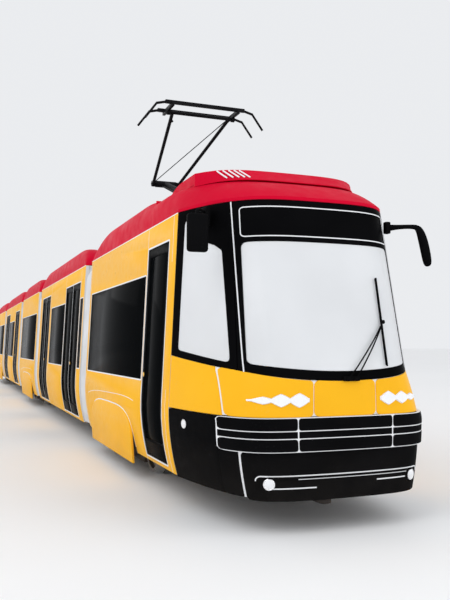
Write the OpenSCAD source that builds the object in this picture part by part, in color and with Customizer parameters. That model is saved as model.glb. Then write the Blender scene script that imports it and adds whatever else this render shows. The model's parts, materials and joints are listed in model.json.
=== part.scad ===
// Articulated low-floor tram, five sections. Millimetres; X forward, Y left, Z up, Z = 0 at the wheel flanges.

/* [Body] */
// Overall length over the two noses
total_length = 30100; // [29000:100:31000]
// Half width at the belt line
half_width = 1175; // [1150:5:1225]
// Inward tuck of the side at the sill
side_tuck = 92; // [40:1:140]
// Inward lean of the side per metre of height above the belt
side_lean = 48; // [20:1:70]
// Height of the belt line
belt_z = 950; // [900:10:1000]
// Height of the roof edge
roof_z = 2890; // [2800:10:3000]
// Bottom edge of the side walls
sill_z = 310; // [290:5:350]
// Thickness of a side wall
wall_t = 60; // [50:1:70]
// Underside of the floor slab
floor_lo = 375; // [370:1:380]
// Top of the floor slab
floor_hi = 410; // [400:1:430]

/* [Windows and doors] */
// Bottom edge of the side windows
window_lo = 1185; // [1100:5:1300]
// Top edge of the side windows
window_hi = 2360; // [2200:5:2450]
// Bottom edge of the door openings
door_lo = 360; // [350:5:370]
// Top edge of the door openings
door_hi = 2650; // [2550:5:2700]
// Gap round a door leaf
door_gap = 6; // [5:1:10]

/* [Nose] */
// Where the cab shell starts
cab_x = 13680; // [13500:10:13800]
// Backward rake of the windscreen, per mille
rake = 258; // [200:1:300]
// Thickness of the nose skin
skin_t = 45; // [30:1:60]

/* [Running gear] */
// Axle height
axle_z = 315; // [315:1:330]
// Wheel tread radius
tread_r = 290; // [280:1:295]
// Wheel flange radius
flange_r = 315; // [310:1:320]
// Half of the bogie wheelbase
half_base = 900; // [850:10:950]
// Distance of the end bogies from the middle
bogie_x = 10850; // [10800:10:10900]
// Axle radius in the axle boxes
axle_r = 50; // [45:1:55]
// Radial clearance in the axle boxes and hinges
run_gap = 0.05; // [0.02:0.01:0.08]

/* [Pantograph] */
// Place of the base hinge along the tram
panto_x = 11220; // [11100:10:11300]
// Height of the base hinge
panto_z = 3525; // [3450:5:3600]
// Knuckle behind the base hinge
knuckle_dx = 1720; // [1600:10:1800]
// Knuckle above the base hinge
knuckle_dz = 600; // [500:10:700]
// Half length of the collector head over its horns
head_half = 840; // [800:5:900]

/* [Hidden] */
$fn = 48;

// Section ends along the tram: middle, second and end sections; the fourth and rear mirror the others.
middle_x = 2000;
second_x = [2575, 8525];
end_x = [9100, cab_x - 10];
inner_pivot = (middle_x + second_x[0]) / 2;
outer_pivot = (second_x[1] + end_x[0]) / 2;
tip = total_length / 2;

// Openings of the side walls, each [from x, to x].
end_right_windows = [[9240, 12560]];
end_right_doors = [[12597, 13427]];
end_left_windows = [[9240, 12480], [12600, 13440]];
second_right_windows = [[4571, 6510], [8195, 8480]];
second_right_doors = [[6545, 8153], [2961, 4344]];
second_left_windows = [[2760, 4460], [4571, 6510], [6630, 8400]];
middle_windows_x = [[-1820, 1820]];

// Seats: [x, facing (1 forward, -1 back), side (1 left, -1 right), base height].
seat_base_low = floor_hi + 2;
seat_base_box = 717;
end_seats = [[9880, 1, 1, seat_base_box], [10690, -1, 1, seat_base_box], [11210, 1, 1, seat_base_box],
    [11920, -1, 1, seat_base_box], [9880, 1, -1, seat_base_box], [10690, -1, -1, seat_base_box],
    [11210, 1, -1, seat_base_box], [11920, -1, -1, seat_base_box], [12700, 1, 1, seat_base_low]];
second_seat_rows = [[3100, 1, 1, seat_base_low], [3900, -1, 1, seat_base_low], [4700, 1, 1, seat_base_low],
    [5480, -1, 1, seat_base_low], [6020, 1, 1, seat_base_low], [6800, -1, 1, seat_base_low],
    [7320, 1, 1, seat_base_low], [4750, 1, -1, seat_base_low], [5500, -1, -1, seat_base_low],
    [6180, -1, -1, seat_base_low]];
middle_seat_rows = [[-1040, 1, 1, seat_base_box], [-260, -1, 1, seat_base_box], [260, 1, 1, seat_base_box],
    [1040, -1, 1, seat_base_box], [-1040, 1, -1, seat_base_box], [-260, -1, -1, seat_base_box],
    [260, 1, -1, seat_base_box], [1040, -1, -1, seat_base_box]];

// Half width of the body at a height, and the curved nose as a function of the share r of that half width.
function half_w(z) = z < belt_z ? half_width - side_tuck * pow((belt_z - z) / 640, 2)
    : half_width - side_lean * (z - belt_z) / 1000;
function tip_x(z) = tip - max(0, z - 1340) * rake / 1000;
function bow(r, z) = 0.08 * r * r + 0.92 * pow(abs(r), 4.5 + 3 * share((1360 - z) / 450));
function nose_x(r, z, o) = let (t = tip_x(z) + o) t - (t - cab_x) * bow(r, z);
function nose_pt(r, z, o) = [nose_x(r, z, o), r * (half_w(z) + o), z];
function nose_angle(y, z) = atan((nose_x((abs(y) - 2) / half_w(z), z, 0) - nose_x((abs(y) + 2) / half_w(z), z, 0)) / 4);
function share(t) = max(0, min(1, t));
function steps(a, b, n) = [for (k = [0:n]) a + (b - a) * k / n];

// Lines of the cab: lower edge of the black frame, bottom and top of its glass, and the two display lines.
function frame_low(r) = 1273 + 130 * r * r + 75 * pow(r, 6);
function glass_low(r) = abs(r) < 0.7 ? 1350 + 130 * r * r : 1432 + 540 * share(abs(r) - 0.79);
function rise(r) = share((abs(r) - 0.79) / 0.185);
function glass_top(r) = 2500 + 300 * rise(r);
function display_low(r) = 2540 + 280 * rise(r);
function display_top(r) = 2830 + 20 * rise(r);

// Closed skin between an outer and an inner grid of points; open(i, j) leaves a cell out.
module skin(O, I, open = function(i, j) false) {
    n = len(O);
    m = len(O[0]);
    full = function(i, j) i >= 0 && j >= 0 && i < n - 1 && j < m - 1 && !open(i, j);
    o = function(i, j) i * m + j;
    q = function(i, j) n * m + i * m + j;
    quad = function(a, b, c, d) [[a, b, c], [a, c, d]];
    faces = [for (i = [0:n - 2]) for (j = [0:m - 2]) if (full(i, j)) each concat(
        quad(o(i, j), o(i, j + 1), o(i + 1, j + 1), o(i + 1, j)),
        quad(q(i, j), q(i + 1, j), q(i + 1, j + 1), q(i, j + 1)),
        full(i, j - 1) ? [] : quad(o(i, j), o(i + 1, j), q(i + 1, j), q(i, j)),
        full(i - 1, j) ? [] : quad(o(i, j + 1), o(i, j), q(i, j), q(i, j + 1)),
        full(i, j + 1) ? [] : quad(o(i + 1, j + 1), o(i, j + 1), q(i, j + 1), q(i + 1, j + 1)),
        full(i + 1, j) ? [] : quad(o(i + 1, j), o(i + 1, j + 1), q(i + 1, j + 1), q(i + 1, j)))];
    polyhedron(concat([for (row = O) each row], [for (row = I) each row]), faces);
}

// A piece of the nose skin: stations rs, heights Z[i] at each, its outer face moved out by o, t thick.
module nose_skin(rs, Z, o, t, open = function(i, j) false)
    skin([for (i = [0:len(rs) - 1]) [for (z = Z[i]) nose_pt(rs[i], z, o)]],
        [for (i = [0:len(rs) - 1]) [for (z = Z[i]) nose_pt(rs[i], z, o - t)]], open);

module rear() mirror([1, 0, 0]) children();
module right() mirror([0, 1, 0]) children();
module bar_x(x0, x1) translate([x0, 0, 0]) rotate([90, 0, 90]) linear_extrude(x1 - x0) children();
module box(x, y, z) translate([x[0], y[0], z[0]]) cube([x[1] - x[0], y[1] - y[0], z[1] - z[0]]);
module rod(a, b, r) {
    d = b - a;
    translate(a) rotate([0, atan2(norm([d[0], d[1]]), d[2]), atan2(d[1], d[0])]) cylinder(h = norm(d), r = r);
}
module bar(a, b, w) {
    d = b - a;
    translate(a) rotate([0, atan2(norm([d[0], d[1]]), d[2]), atan2(d[1], d[0])])
        translate([-w / 2, -w / 2, 0]) cube([w, w, norm(d)]);
}
module shaft_y(x, z, y0, y1, r) translate([x, y1, z]) rotate([90, 0, 0]) cylinder(h = y1 - y0, r = r);

// Cross-section strip of the left side between two heights, o outside the body line and t thick.
function levels(z0, z1) = concat([z0], [for (z = [420, 530, 640, 750, 850, 950]) if (z > z0 + 5 && z < z1 - 5) z],
    [z1]);
function strip(z0, z1, o, t) = let (zs = levels(z0, z1)) concat([for (z = zs) [half_w(z) + o, z]],
    [for (k = [len(zs) - 1:-1:0]) [half_w(zs[k]) + o - t, zs[k]]]);

// Window bays: a long window keeps a pillar behind its glass.
function bays(w) = w[1] - w[0] > 2800
    ? let (c = (w[0] + w[1]) / 2) [[w[0] + 25, c - 60], [c + 60, w[1] - 25]] : [[w[0] + 25, w[1] - 25]];

// Side view of a bogie cover, grown by g.
module cover_outline(x, g) polygon(concat([[x + 1250 + g, 190 - g]],
    [for (a = [0:10:180]) [x + (1250 + g) * sign(cos(a)) * pow(abs(cos(a)), 0.55),
        380 + (440 + g) * pow(sin(a), 0.62)]], [[x - 1250 - g, 190 - g]]));
module cover_block(x, g, y0, y1) translate([0, y1, 0]) rotate([90, 0, 0]) linear_extrude(y1 - y0)
    cover_outline(x, g);

module wall(x0, x1, windows, doors, bogies) difference() {
    bar_x(x0, x1) polygon(strip(sill_z, roof_z, 0, wall_t));
    for (w = windows) {
        bar_x(w[0], w[1]) polygon(strip(window_lo, window_hi, 10, 37));
        for (b = bays(w)) bar_x(b[0], b[1]) polygon(strip(window_lo + 25, window_hi - 25, 10, wall_t + 40));
    }
    for (d = doors) bar_x(d[0], d[1]) polygon(strip(door_lo, door_hi, 30, wall_t + 60));
    for (b = bogies) cover_block(b, 15, 900, 1300);
}
module panes(windows) for (w = windows)
    bar_x(w[0] + 3, w[1] - 3) polygon(strip(window_lo + 3, window_hi - 3, -2, 22));

module door_leaf(a, b) {
    difference() {
        bar_x(a, b) polygon(strip(door_lo + door_gap, door_hi - door_gap, -5, 40));
        bar_x(a + 70, b - 70) polygon(strip(560, door_hi - 110, 20, 80));
    }
    bar_x(a + 73, b - 73) polygon(strip(563, door_hi - 113, -9, 14));
}
module door_set(d) if (d[1] - d[0] > 1000) {
    c = (d[0] + d[1]) / 2;
    door_leaf(d[0] + door_gap, c - 3);
    door_leaf(c + 3, d[1] - door_gap);
} else door_leaf(d[0] + door_gap, d[1] - door_gap);

module bogie_cover(x) for (s = [0, 1]) mirror([0, s, 0]) intersection() {
    cover_block(x, 0, 1000, 1300);
    bar_x(x - 1300, x + 1300) polygon(concat([for (z = [180:80:820]) [1176 - 34 * pow((830 - z) / 640, 2), z]],
        [for (z = [820:-80:180]) [1146 - 34 * pow((830 - z) / 640, 2), z]]));
}

// End frame of a gangway: two jambs and a header that leave the passage open.
module end_frame(x0) {
    zs = [floor_hi + 2, 640, 950, roof_z - 62];
    for (s = [0, 1]) mirror([0, s, 0]) bar_x(x0, x0 + 50)
        polygon(concat([[560, floor_hi + 2]], [for (z = zs) [half_w(z) - wall_t - 2, z]], [[560, roof_z - 62]]));
    box([x0, x0 + 50], [-556, 556], [2150, roof_z - 62]);
}
module deck(x0, x1) box([x0, x1], [-1016, 1016], [roof_z - 60, roof_z - 2]);

// Boxes over the wheels, open below, that carry seats.
module wheel_boxes(x) for (s = [0, 1]) mirror([0, s, 0]) {
    box([x - 1288, x + 1288], [603, 625], [378, 687]);
    box([x - 1288, x + 1288], [603, 1040], [690, 715]);
    for (e = [x - 1288, x + 1266]) box([e, e + 22], [628, 1036], [380, 687]);
}
module slab() translate([0, 0, floor_lo]) linear_extrude(floor_hi - floor_lo) children();
module plank(x0, x1, w) translate([x0, -w]) square([x1 - x0, 2 * w]);
module bogie_gap(x) for (s = [0, 1]) mirror([0, s]) translate([x - 1290, 600]) square([2580, 500]);

// Gangway joint below the floor: the fork carries the pin, the tongue has the bore.
module fork(p, x1) {
    difference() {
        union() {
            box([p, x1], [-110, 110], [325, 350]);
            box([p, x1], [-110, 110], [215, 245]);
            translate([p, 0, 325]) cylinder(h = 25, r = 110);
            translate([p, 0, 215]) cylinder(h = 30, r = 110);
        }
        box([p - 200, p - 120], [-120, 120], [200, 360]);
    }
    translate([p, 0, 215]) cylinder(h = 135, r = 60);
    box([x1 - 60, x1], [-110, 110], [216, floor_lo + 1]);
}
module tongue(p, x0) {
    difference() {
        union() {
            box([x0, p], [-100, 100], [255, 315]);
            translate([p, 0, 255]) cylinder(h = 60, r = 100);
        }
        translate([p, 0, 200]) cylinder(h = 200, r = 60 + run_gap);
    }
    box([x0, x0 + 60], [-100, 100], [256, floor_lo + 1]);
}
module pad(x, y) box([x - 70, x + 70], [y - 60, y + 60], [300, floor_lo + 1]);

module end_body() {
    right() wall(end_x[0], end_x[1], end_right_windows, end_right_doors, [bogie_x]);
    wall(end_x[0], end_x[1], end_left_windows, [], [bogie_x]);
    deck(end_x[0], end_x[1]);
    end_frame(end_x[0]);
    wheel_boxes(bogie_x);
    slab() difference() {
        plank(end_x[0], end_x[1], 1020);
        translate([outer_pivot, 0]) circle(r = 560, $fn = 96);
        bogie_gap(bogie_x);
    }
    difference() {
        fork(outer_pivot, 9500);
    }
    for (y = [-900, 900]) for (x = [9330, 13300]) pad(x, y);
    slab() polygon([for (r = steps(-1, 1, 24)) [nose_x(r, floor_hi, -75), r * (half_w(floor_hi) - 75)]]);
    difference() {
        union() {
            box([14150, 14650], [-60, 60], [160, 200]);
            translate([14650, 0, 160]) cylinder(h = 40, r = 60);
            box([14150, 14300], [-60, 60], [180, floor_lo + 1]);
        }
        translate([14650, 0, 150]) cylinder(h = 60, r = 20);
    }
}
module second_body() {
    right() wall(second_x[0], second_x[1], second_right_windows, second_right_doors, []);
    wall(second_x[0], second_x[1], second_left_windows, [], []);
    deck(second_x[0], second_x[1]);
    end_frame(second_x[0]);
    end_frame(second_x[1] - 50);
    slab() {
        plank(second_x[0], second_x[1], 1020);
        plank(inner_pivot, outer_pivot, 550);
        for (p = [inner_pivot, outer_pivot]) translate([p, 0]) circle(r = 550, $fn = 96);
    }
    tongue(outer_pivot, 8380);
    translate([inner_pivot, 0, 0]) mirror([1, 0, 0]) tongue(0, -432.5);
    for (y = [-900, 900]) for (x = [3700, 7400]) pad(x, y);
}
module middle_body() {
    for (s = [0, 1]) mirror([0, s, 0]) wall(-middle_x, middle_x, middle_windows_x, [], [0]);
    deck(-middle_x, middle_x);
    end_frame(-middle_x);
    end_frame(middle_x - 50);
    wheel_boxes(0);
    slab() difference() {
        plank(-middle_x, middle_x, 1020);
        for (p = [-inner_pivot, inner_pivot]) translate([p, 0]) circle(r = 560, $fn = 96);
        bogie_gap(0);
    }
    for (s = [0, 1]) mirror([s, 0, 0]) translate([inner_pivot, 0, 0]) mirror([1, 0, 0]) fork(0, 687.5);
}

// Roof cowls: the outer line leans in to the top and both ends run out in an ellipse.
function cowl_k(x, x0, x1, e0, e1) = let (a = e0 > 0 ? share((x - x0) / e0) : 1, b = e1 > 0 ? share((x1 - x) / e1) : 1,
    t = min(a, b)) max(0.08, sqrt(1 - pow(1 - t, 2)));
function cowl_x(x0, x1, e0, e1) = concat(e0 > 0 ? [for (t = [0, 0.03, 0.1, 0.2, 0.35, 0.55, 0.8]) x0 + t * e0] : [x0],
    [x0 + e0 + 1, x1 - e1 - 1], e1 > 0 ? [for (t = [0.8, 0.55, 0.35, 0.2, 0.1, 0.03, 0]) x1 - t * e1] : [x1]);
cowl_line = [[1080, 0], [1074, 60], [1060, 150], [1030, 250], [985, 330], [930, 368], [860, 380]];
module cowl(x0, x1, e0, e1) for (s = [0, 1]) mirror([0, s, 0]) skin(
    [for (x = cowl_x(x0, x1, e0, e1)) [for (p = cowl_line) [x, -p[0], roof_z + 2 + p[1] * cowl_k(x, x0, x1, e0, e1)]]],
    [for (x = cowl_x(x0, x1, e0, e1)) [for (p = cowl_line) [x, -p[0] * 0.30 - 520,
        roof_z + 2 + p[1] * 0.72 * cowl_k(x, x0, x1, e0, e1)]]]);
module lid(x0, x1, h) bar_x(x0, x1) polygon([[-600, roof_z + 2], [600, roof_z + 2], [600, roof_z + h - 60],
    [540, roof_z + h], [-540, roof_z + h], [-600, roof_z + h - 60]]);

// Hood over the cab: rises from the nose line and closes the cab ceiling.
hood_x = 12700;
function hood_rise(r, x) = let (front = nose_x(r, roof_z, 0), t = share((front - x) / 750))
    30 + 280 * pow(1 - pow(abs(r), 10), 0.2) * (1 - pow(1 - t, 1.7));
function hood_pt(r, v, low) = let (front = nose_x(r, roof_z, 0), x = hood_x + (front - hood_x) * (1 - pow(1 - v, 1.6)))
    [x, r * half_w(roof_z), low ? roof_z + 2 : roof_z + 2 + hood_rise(r, x)];
module housing() translate([0, 0, 3206]) linear_extrude(109) polygon(concat([[12720, 900], [12720, -900]],
    [for (y = steps(-900, 900, 16)) [13950 - 300 * pow(abs(y) / 900, 5), y]]));
hood_rs = concat([-1, -0.985], steps(-0.95, 0.95, 20), [0.985, 1]);
module hood() skin([for (v = steps(0, 1, 16)) [for (r = hood_rs) hood_pt(r, v, false)]],
    [for (v = steps(0, 1, 16)) [for (r = hood_rs) hood_pt(r, v, true)]]);

// Stations across the nose; near the corners they follow the seams.
side_rs = [0.745, 0.78, 0.83, 0.88, 0.93, 0.975, 1];
frame_rs = concat([for (k = [6:-1:1]) -side_rs[k]], [-0.735], steps(-0.69, 0.69, 14), [0.735],
    [for (k = [1:6]) side_rs[k]]);
module nose_frame() nose_skin(frame_rs,
    [for (r = frame_rs) [frame_low(r), glass_low(r), (glass_low(r) + glass_top(r)) / 2, glass_top(r),
        display_low(r), display_top(r), roof_z - 5]], 0, skin_t,
    function(i, j) let (a = frame_rs[i], b = frame_rs[i + 1], c = (abs(a) + abs(b)) / 2)
        (j == 1 || j == 2) && (c < 0.69 || (c > 0.78 && c < 0.975)) || (j == 4 && c < 0.69));
module nose_glass() {
    rs = steps(-0.686, 0.686, 14);
    nose_skin(rs, [for (r = rs) [glass_low(r) + 4, (glass_low(r) + glass_top(r)) / 2, glass_top(r) - 4]], -6, 16);
    ss = [0.785, 0.83, 0.88, 0.93, 0.971];
    for (s = [0, 1]) mirror([0, s, 0])
        nose_skin(ss, [for (r = ss) [glass_low(r) + 4, (glass_low(r) + glass_top(r)) / 2, glass_top(r) - 4]], -6, 16);
}
module nose_band() {
    middle = steps(-0.256, 0.256, 6);
    front = concat(steps(0.260, 0.745, 5), [0.827]);
    corner = [0.833, 0.88, 0.93, 0.96, 0.98, 1];
    nose_skin(middle, [for (r = middle) [972, 1130, frame_low(r) - 4]], 0, skin_t);
    for (s = [0, 1]) mirror([0, s, 0]) for (rs = [front, corner])
        nose_skin(rs, [for (r = rs) [972, 1130, min(1338, frame_low(r) - 24), frame_low(r) - 4]], 0, skin_t);
}
module nose_bumper() {
    middle = steps(-0.378, 0.378, 6);
    outer = [0.382, 0.5, 0.6, 0.69, 0.77, 0.85];
    nose_skin(middle, [for (r = middle) [690, 705, 950, 966]], 30, 60);
    for (s = [0, 1]) mirror([0, s, 0])
        nose_skin(outer, [for (r = outer) [690, 705, 950, 966]], 30, 60);
}
module nose_valance() {
    middle = steps(-0.765, 0.765, 12);
    corner = [0.775, 0.82, 0.86, 0.90, 0.94, 0.975, 1];
    nose_skin(middle, [for (r = middle) [280, 400, 540, 684]], 0, skin_t);
    for (s = [0, 1]) mirror([0, s, 0]) nose_skin(corner, [for (r = corner) [300, 400, 540, 684, 820, 962]], 0, skin_t,
        function(i, j) i < 2 && j > 2);
}
module disc_on_nose(y, z, r, h) {
    p = nose_pt(y / half_w(z), z, 0);
    a = nose_angle(y, z) * sign(y);
    translate([p[0] + 6 * cos(a), p[1] + 6 * sin(a), z]) rotate([0, 90, a]) cylinder(h = h, r = r);
}
module lamp_cluster() {
    rs = [0.305, 0.34, 0.37, 0.40, 0.443, 0.475, 0.505, 0.535, 0.575, 0.60, 0.625, 0.65, 0.70];
    half = [5, 38, 52, 36, 9, 34, 46, 32, 8, 18, 23, 15, 3];
    nose_skin(rs, [for (k = [0:12]) [1113 - half[k], 1113 + half[k]]], 12, 11);
}
module seat(s) {
    x = s[0]; f = s[1]; y0 = s[2] > 0 ? 636 : -1036;
    box([x - 210, x + 210], [y0, y0 + 400], [780, 850]);
    box([x - f * 210 - 30, x - f * 210 + 30], [y0, y0 + 400], [782, 1440]);
    box([x - 150, x + 150], [y0 + 100, y0 + 300], [s[3], 781]);
}

module bogie_frame(x) {
    for (s = [0, 1]) mirror([0, s, 0]) {
        difference() {
            union() {
                box([x - 1120, x + 1120], [860, 980], [250, 430]);
                for (d = [-260, 260]) translate([x + d, 920, 420]) cylinder(h = 262, r = 58);
            }
            for (d = [-half_base, half_base])
                shaft_y(x + d, axle_z, 850, 990, axle_r + run_gap);
        }
        box([x - 420, x + 420], [712, 782], [60, 150]);
        for (d = [-330, 330]) box([x + d - 40, x + d + 40], [712, 900], [140, 260]);
    }
    for (d = [-240, 120]) box([x + d, x + d + 120], [-900, 900], [252, 360]);
    for (d = [-760, 260]) box([x + d, x + d + 500], [-420, 420], [185, 358]);
}
module wheelset(x) translate([x, 0, axle_z]) rotate([90, 0, 0]) {
    cylinder(h = 1970, r = axle_r, center = true);
    for (s = [0, 1]) mirror([0, 0, s]) rotate_extrude($fn = 96) polygon([[axle_r - 5, 695], [100, 695], [110, 735],
        [235, 725], [245, 682], [flange_r - 12, 680], [flange_r, 690], [flange_r - 4, 703], [tread_r + 2, 714],
        [tread_r, 810], [250, 810], [240, 765], [110, 775], [100, 800], [axle_r - 5, 800]]);
}

// Bellows: an inverted U with folds, given as [y, z, outward y, outward z].
bellows_line = concat([for (z = [330, 640, 950, 1825, 2640]) [-(half_w(z) - 25), z, -1, 0]],
    [[-1000, 2790, -0.7, 0.7]], [for (y = [-840, 0, 840]) [y, 2850, 0, 1]], [[1000, 2790, 0.7, 0.7]],
    [for (z = [2640, 1825, 950, 640, 330]) [half_w(z) - 25, z, 1, 0]]);
folds = 7;
module bellows(x0, x1) skin(
    [for (k = [0:2 * folds]) [for (p = bellows_line) let (e = k % 2 == 0 ? 0 : 42)
        [x0 + (x1 - x0) * k / (2 * folds), p[0] - e * p[2], p[1] - e * p[3]]]],
    [for (k = [0:2 * folds]) [for (p = bellows_line) let (e = (k % 2 == 0 ? 0 : 42) + 10)
        [x0 + (x1 - x0) * k / (2 * folds), p[0] - e * p[2], p[1] - e * p[3]]]]);

module front_body_shell() color([0.95, 0.72, 0.12]) end_body();
module front_roof_covers() color([0.78, 0.1, 0.2]) {
    cowl(end_x[0] + 20, hood_x - 4, 1100, 0);
    lid(12130, 12650, 230);
    hood();
    housing();
}
module front_windows() color([0.08, 0.08, 0.1]) { panes(end_left_windows); right() panes(end_right_windows); }
module front_door() color([0.05, 0.05, 0.05]) right() door_set(end_right_doors[0]);
module cab_front_panel() color([0.95, 0.72, 0.12]) nose_band();
module windscreen_frame() color([0.05, 0.05, 0.05]) nose_frame();
module cab_glass() color([0.85, 0.9, 0.92, 0.4]) nose_glass();
module destination_display() color([0.04, 0.04, 0.04]) {
    rs = steps(-0.68, 0.68, 14);
    nose_skin(rs, [for (r = rs) [2546, 2824]], -6, 30);
}
module front_bumper() color([0.06, 0.06, 0.06]) nose_bumper();
module front_valance() color([0.06, 0.06, 0.06]) nose_valance();
module headlamps() color([0.9, 0.92, 0.95]) for (s = [0, 1]) mirror([0, s, 0]) {
    lamp_cluster();
    disc_on_nose(690, 425, 52, 18);
    disc_on_nose(1125, 843, 36, 10);
}
module mirrors() color([0.05, 0.05, 0.05]) {
    box([14520, 14600], [-1275, -1085], [2385, 2725]);
    rod([14560, -1180, 2700], [14240, -985, 2790], 17);
    box([14180, 14300], [-1010, -960], [2660, 2850]);
    rod([14345, 885, 2745], [14560, 1110, 2690], 22);
    rod([14560, 1098, 2725], [14560, 1229, 2345], 47);
    box([14336, 14398], [862, 914], [2690, 2800]);
}
module wiper() color([0.05, 0.05, 0.05]) {
    bar([15070, 20, 1300], [14919.6, 443.2, 1781], 9);
    bar([15070, 80, 1300], [14938, 466, 1755], 8);
    bar([14812, 457, 2190], [15022, 430, 1392], 13);
    box([15053, 15079], [-8, 108], [1262, 1318]);
}
module driver_desk() color([0.2, 0.2, 0.22]) {
    translate([0, 740, 0]) rotate([90, 0, 0]) linear_extrude(1400)
        polygon([[14060, 1040], [14500, 1060], [14500, 1210], [14380, 1210], [14060, 1110]]);
    box([14250, 14480], [-200, 320], [floor_hi + 2, 1042]);
}
module cab_bulkhead() color([0.75, 0.76, 0.78]) {
    box([13500, 13530], [40, 1020], [floor_hi + 2, 1300]);
    difference() {
        box([13500, 13530], [40, 1000], [1303, roof_z - 64]);
        box([13400, 13600], [110, 930], [1380, 2700]);
    }
    box([13508, 13520], [113, 927], [1383, 2697]);
    box([13500, 13530], [-1000, -930], [floor_hi + 2, roof_z - 64]);
    box([13500, 13530], [-927, 37], [2300, roof_z - 64]);
}
module front_seats() color([0.35, 0.37, 0.42]) {
    for (s = end_seats) seat(s);
    box([13620, 14080], [-30, 450], [820, 920]);
    box([13580, 13660], [0, 420], [900, 1560]);
    box([13720, 13980], [100, 320], [floor_hi + 2, 825]);
}
module front_bogie_covers() color([0.95, 0.72, 0.12]) bogie_cover(bogie_x);
module front_bogie_frame() color([0.25, 0.25, 0.27]) bogie_frame(bogie_x);
module second_body_shell() color([0.95, 0.72, 0.12]) second_body();
module second_lids() {
    cowl(second_x[0] + 20, second_x[1] - 20, 1000, 1000);
    lid(3300, 5500, 290);
    lid(5560, 7800, 250);
}
module second_roof_covers() color([0.78, 0.1, 0.2]) second_lids();
module second_windows() color([0.08, 0.08, 0.1]) { panes(second_left_windows); right() panes(second_right_windows); }
module second_doors() color([0.05, 0.05, 0.05]) right() for (d = second_right_doors) door_set(d);
module second_seats() color([0.35, 0.37, 0.42]) for (s = second_seat_rows) seat(s);
module middle_body_shell() color([0.95, 0.72, 0.12]) middle_body();
module middle_roof_covers() color([0.78, 0.1, 0.2]) {
    cowl(20 - middle_x, middle_x - 20, 900, 900);
    lid(-1300, 1300, 270);
}
module middle_windows() color([0.08, 0.08, 0.1]) { panes(middle_windows_x); right() panes(middle_windows_x); }
module middle_seats() color([0.35, 0.37, 0.42]) for (s = middle_seat_rows) seat(s);
module middle_bogie_covers() color([0.95, 0.72, 0.12]) bogie_cover(0);
module middle_bogie_frame() color([0.25, 0.25, 0.27]) bogie_frame(0);
module fourth_body_shell() color([0.95, 0.72, 0.12]) rear() second_body();
module fourth_roof_covers() color([0.78, 0.1, 0.2]) rear() second_lids();
module fourth_windows() rear() second_windows();
module fourth_doors() rear() second_doors();
module fourth_seats() rear() second_seats();
module rear_body_shell() color([0.95, 0.72, 0.12]) rear() end_body();
module rear_roof_covers() color([0.78, 0.1, 0.2]) rear() {
    cowl(end_x[0] + 20, hood_x - 4, 1100, 0);
    lid(9700, 12560, 260);
    hood();
    housing();
}
module rear_windows() rear() front_windows();
module rear_door() rear() front_door();
module rear_end_panel() color([0.95, 0.72, 0.12]) rear() {
    nose_band();
    nose_frame();
    nose_skin(steps(-0.68, 0.68, 14), [for (r = steps(-0.68, 0.68, 14)) [2546, 2824]], -6, 30);
}
module rear_glass() rear() cab_glass();
module rear_bumper() color([0.06, 0.06, 0.06]) rear() { nose_bumper(); nose_valance(); }
module tail_lamps() color([0.8, 0.1, 0.1]) rear() headlamps();
module rear_seats() color([0.35, 0.37, 0.42]) rear() {
    for (s = end_seats) seat(s);
    for (y = [-900, -430, 40, 510]) {
        box([13960, 14360], [y, y + 400], [780, 850]);
        box([14330, 14390], [y, y + 400], [782, 1300]);
        box([14000, 14300], [y + 100, y + 300], [floor_hi + 2, 781]);
    }
}
module rear_bogie_covers() color([0.95, 0.72, 0.12]) rear() bogie_cover(bogie_x);
module rear_bogie_frame() color([0.25, 0.25, 0.27]) rear() bogie_frame(bogie_x);
module steel() color([0.5, 0.5, 0.52]) children();
module bellows_front() color([0.8, 0.8, 0.82]) bellows(second_x[1] + 4, end_x[0] - 4);
module bellows_second() color([0.8, 0.8, 0.82]) bellows(middle_x + 4, second_x[0] - 4);
module bellows_fourth() rear() bellows_second();
module bellows_rear() rear() bellows_front();

// Pantograph: base on insulators, single lower arm, forked upper arm, collector head.
knee = [panto_x - knuckle_dx, 0, panto_z + knuckle_dz];
head_z = panto_z + 2 * knuckle_dz;
module pantograph_base() color([0.08, 0.08, 0.08]) {
    for (x = [-900, 350]) for (y = [-420, 420])
        translate([panto_x + x, y, roof_z]) cylinder(h = 360, r = 48);
    for (y = [-420, 420]) box([panto_x - 980, panto_x + 430], [y - 30, y + 30], [3240, 3300]);
    for (x = [-930, 320]) box([panto_x + x, panto_x + x + 60], [-440, 440], [3240, 3300]);
    for (y = [-330, 300]) difference() {
        union() {
            box([panto_x - 55, panto_x + 55], [y, y + 30], [3290, panto_z]);
            shaft_y(panto_x, panto_z, y, y + 30, 55);
        }
        shaft_y(panto_x, panto_z, y - 5, y + 35, 20 + run_gap);
    }
    box([panto_x - 50, panto_x + 50], [-440, 440], [3240, 3296]);
}
module pantograph_lower_arm() color([0.08, 0.08, 0.08]) {
    shaft_y(panto_x, panto_z, -335, 335, 20);
    shaft_y(panto_x, panto_z, -290, 290, 50);
    rod([panto_x, 0, panto_z], knee, 46);
    shaft_y(knee[0], knee[2], -240, 240, 18);
    shaft_y(knee[0], knee[2], -170, 170, 52);
}
module pantograph_upper_arm() color([0.08, 0.08, 0.08]) for (s = [0, 1]) mirror([0, s, 0]) {
    difference() {
        union() {
            shaft_y(knee[0], knee[2], 180, 230, 46);
            rod([knee[0], 205, knee[2]], [panto_x, 410, head_z], 24);
            shaft_y(panto_x, head_z, -0, 435, 22);
            shaft_y(panto_x, head_z, 420, 500, 15);
        }
        shaft_y(knee[0], knee[2], 150, 260, 18 + run_gap);
    }
}
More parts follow.
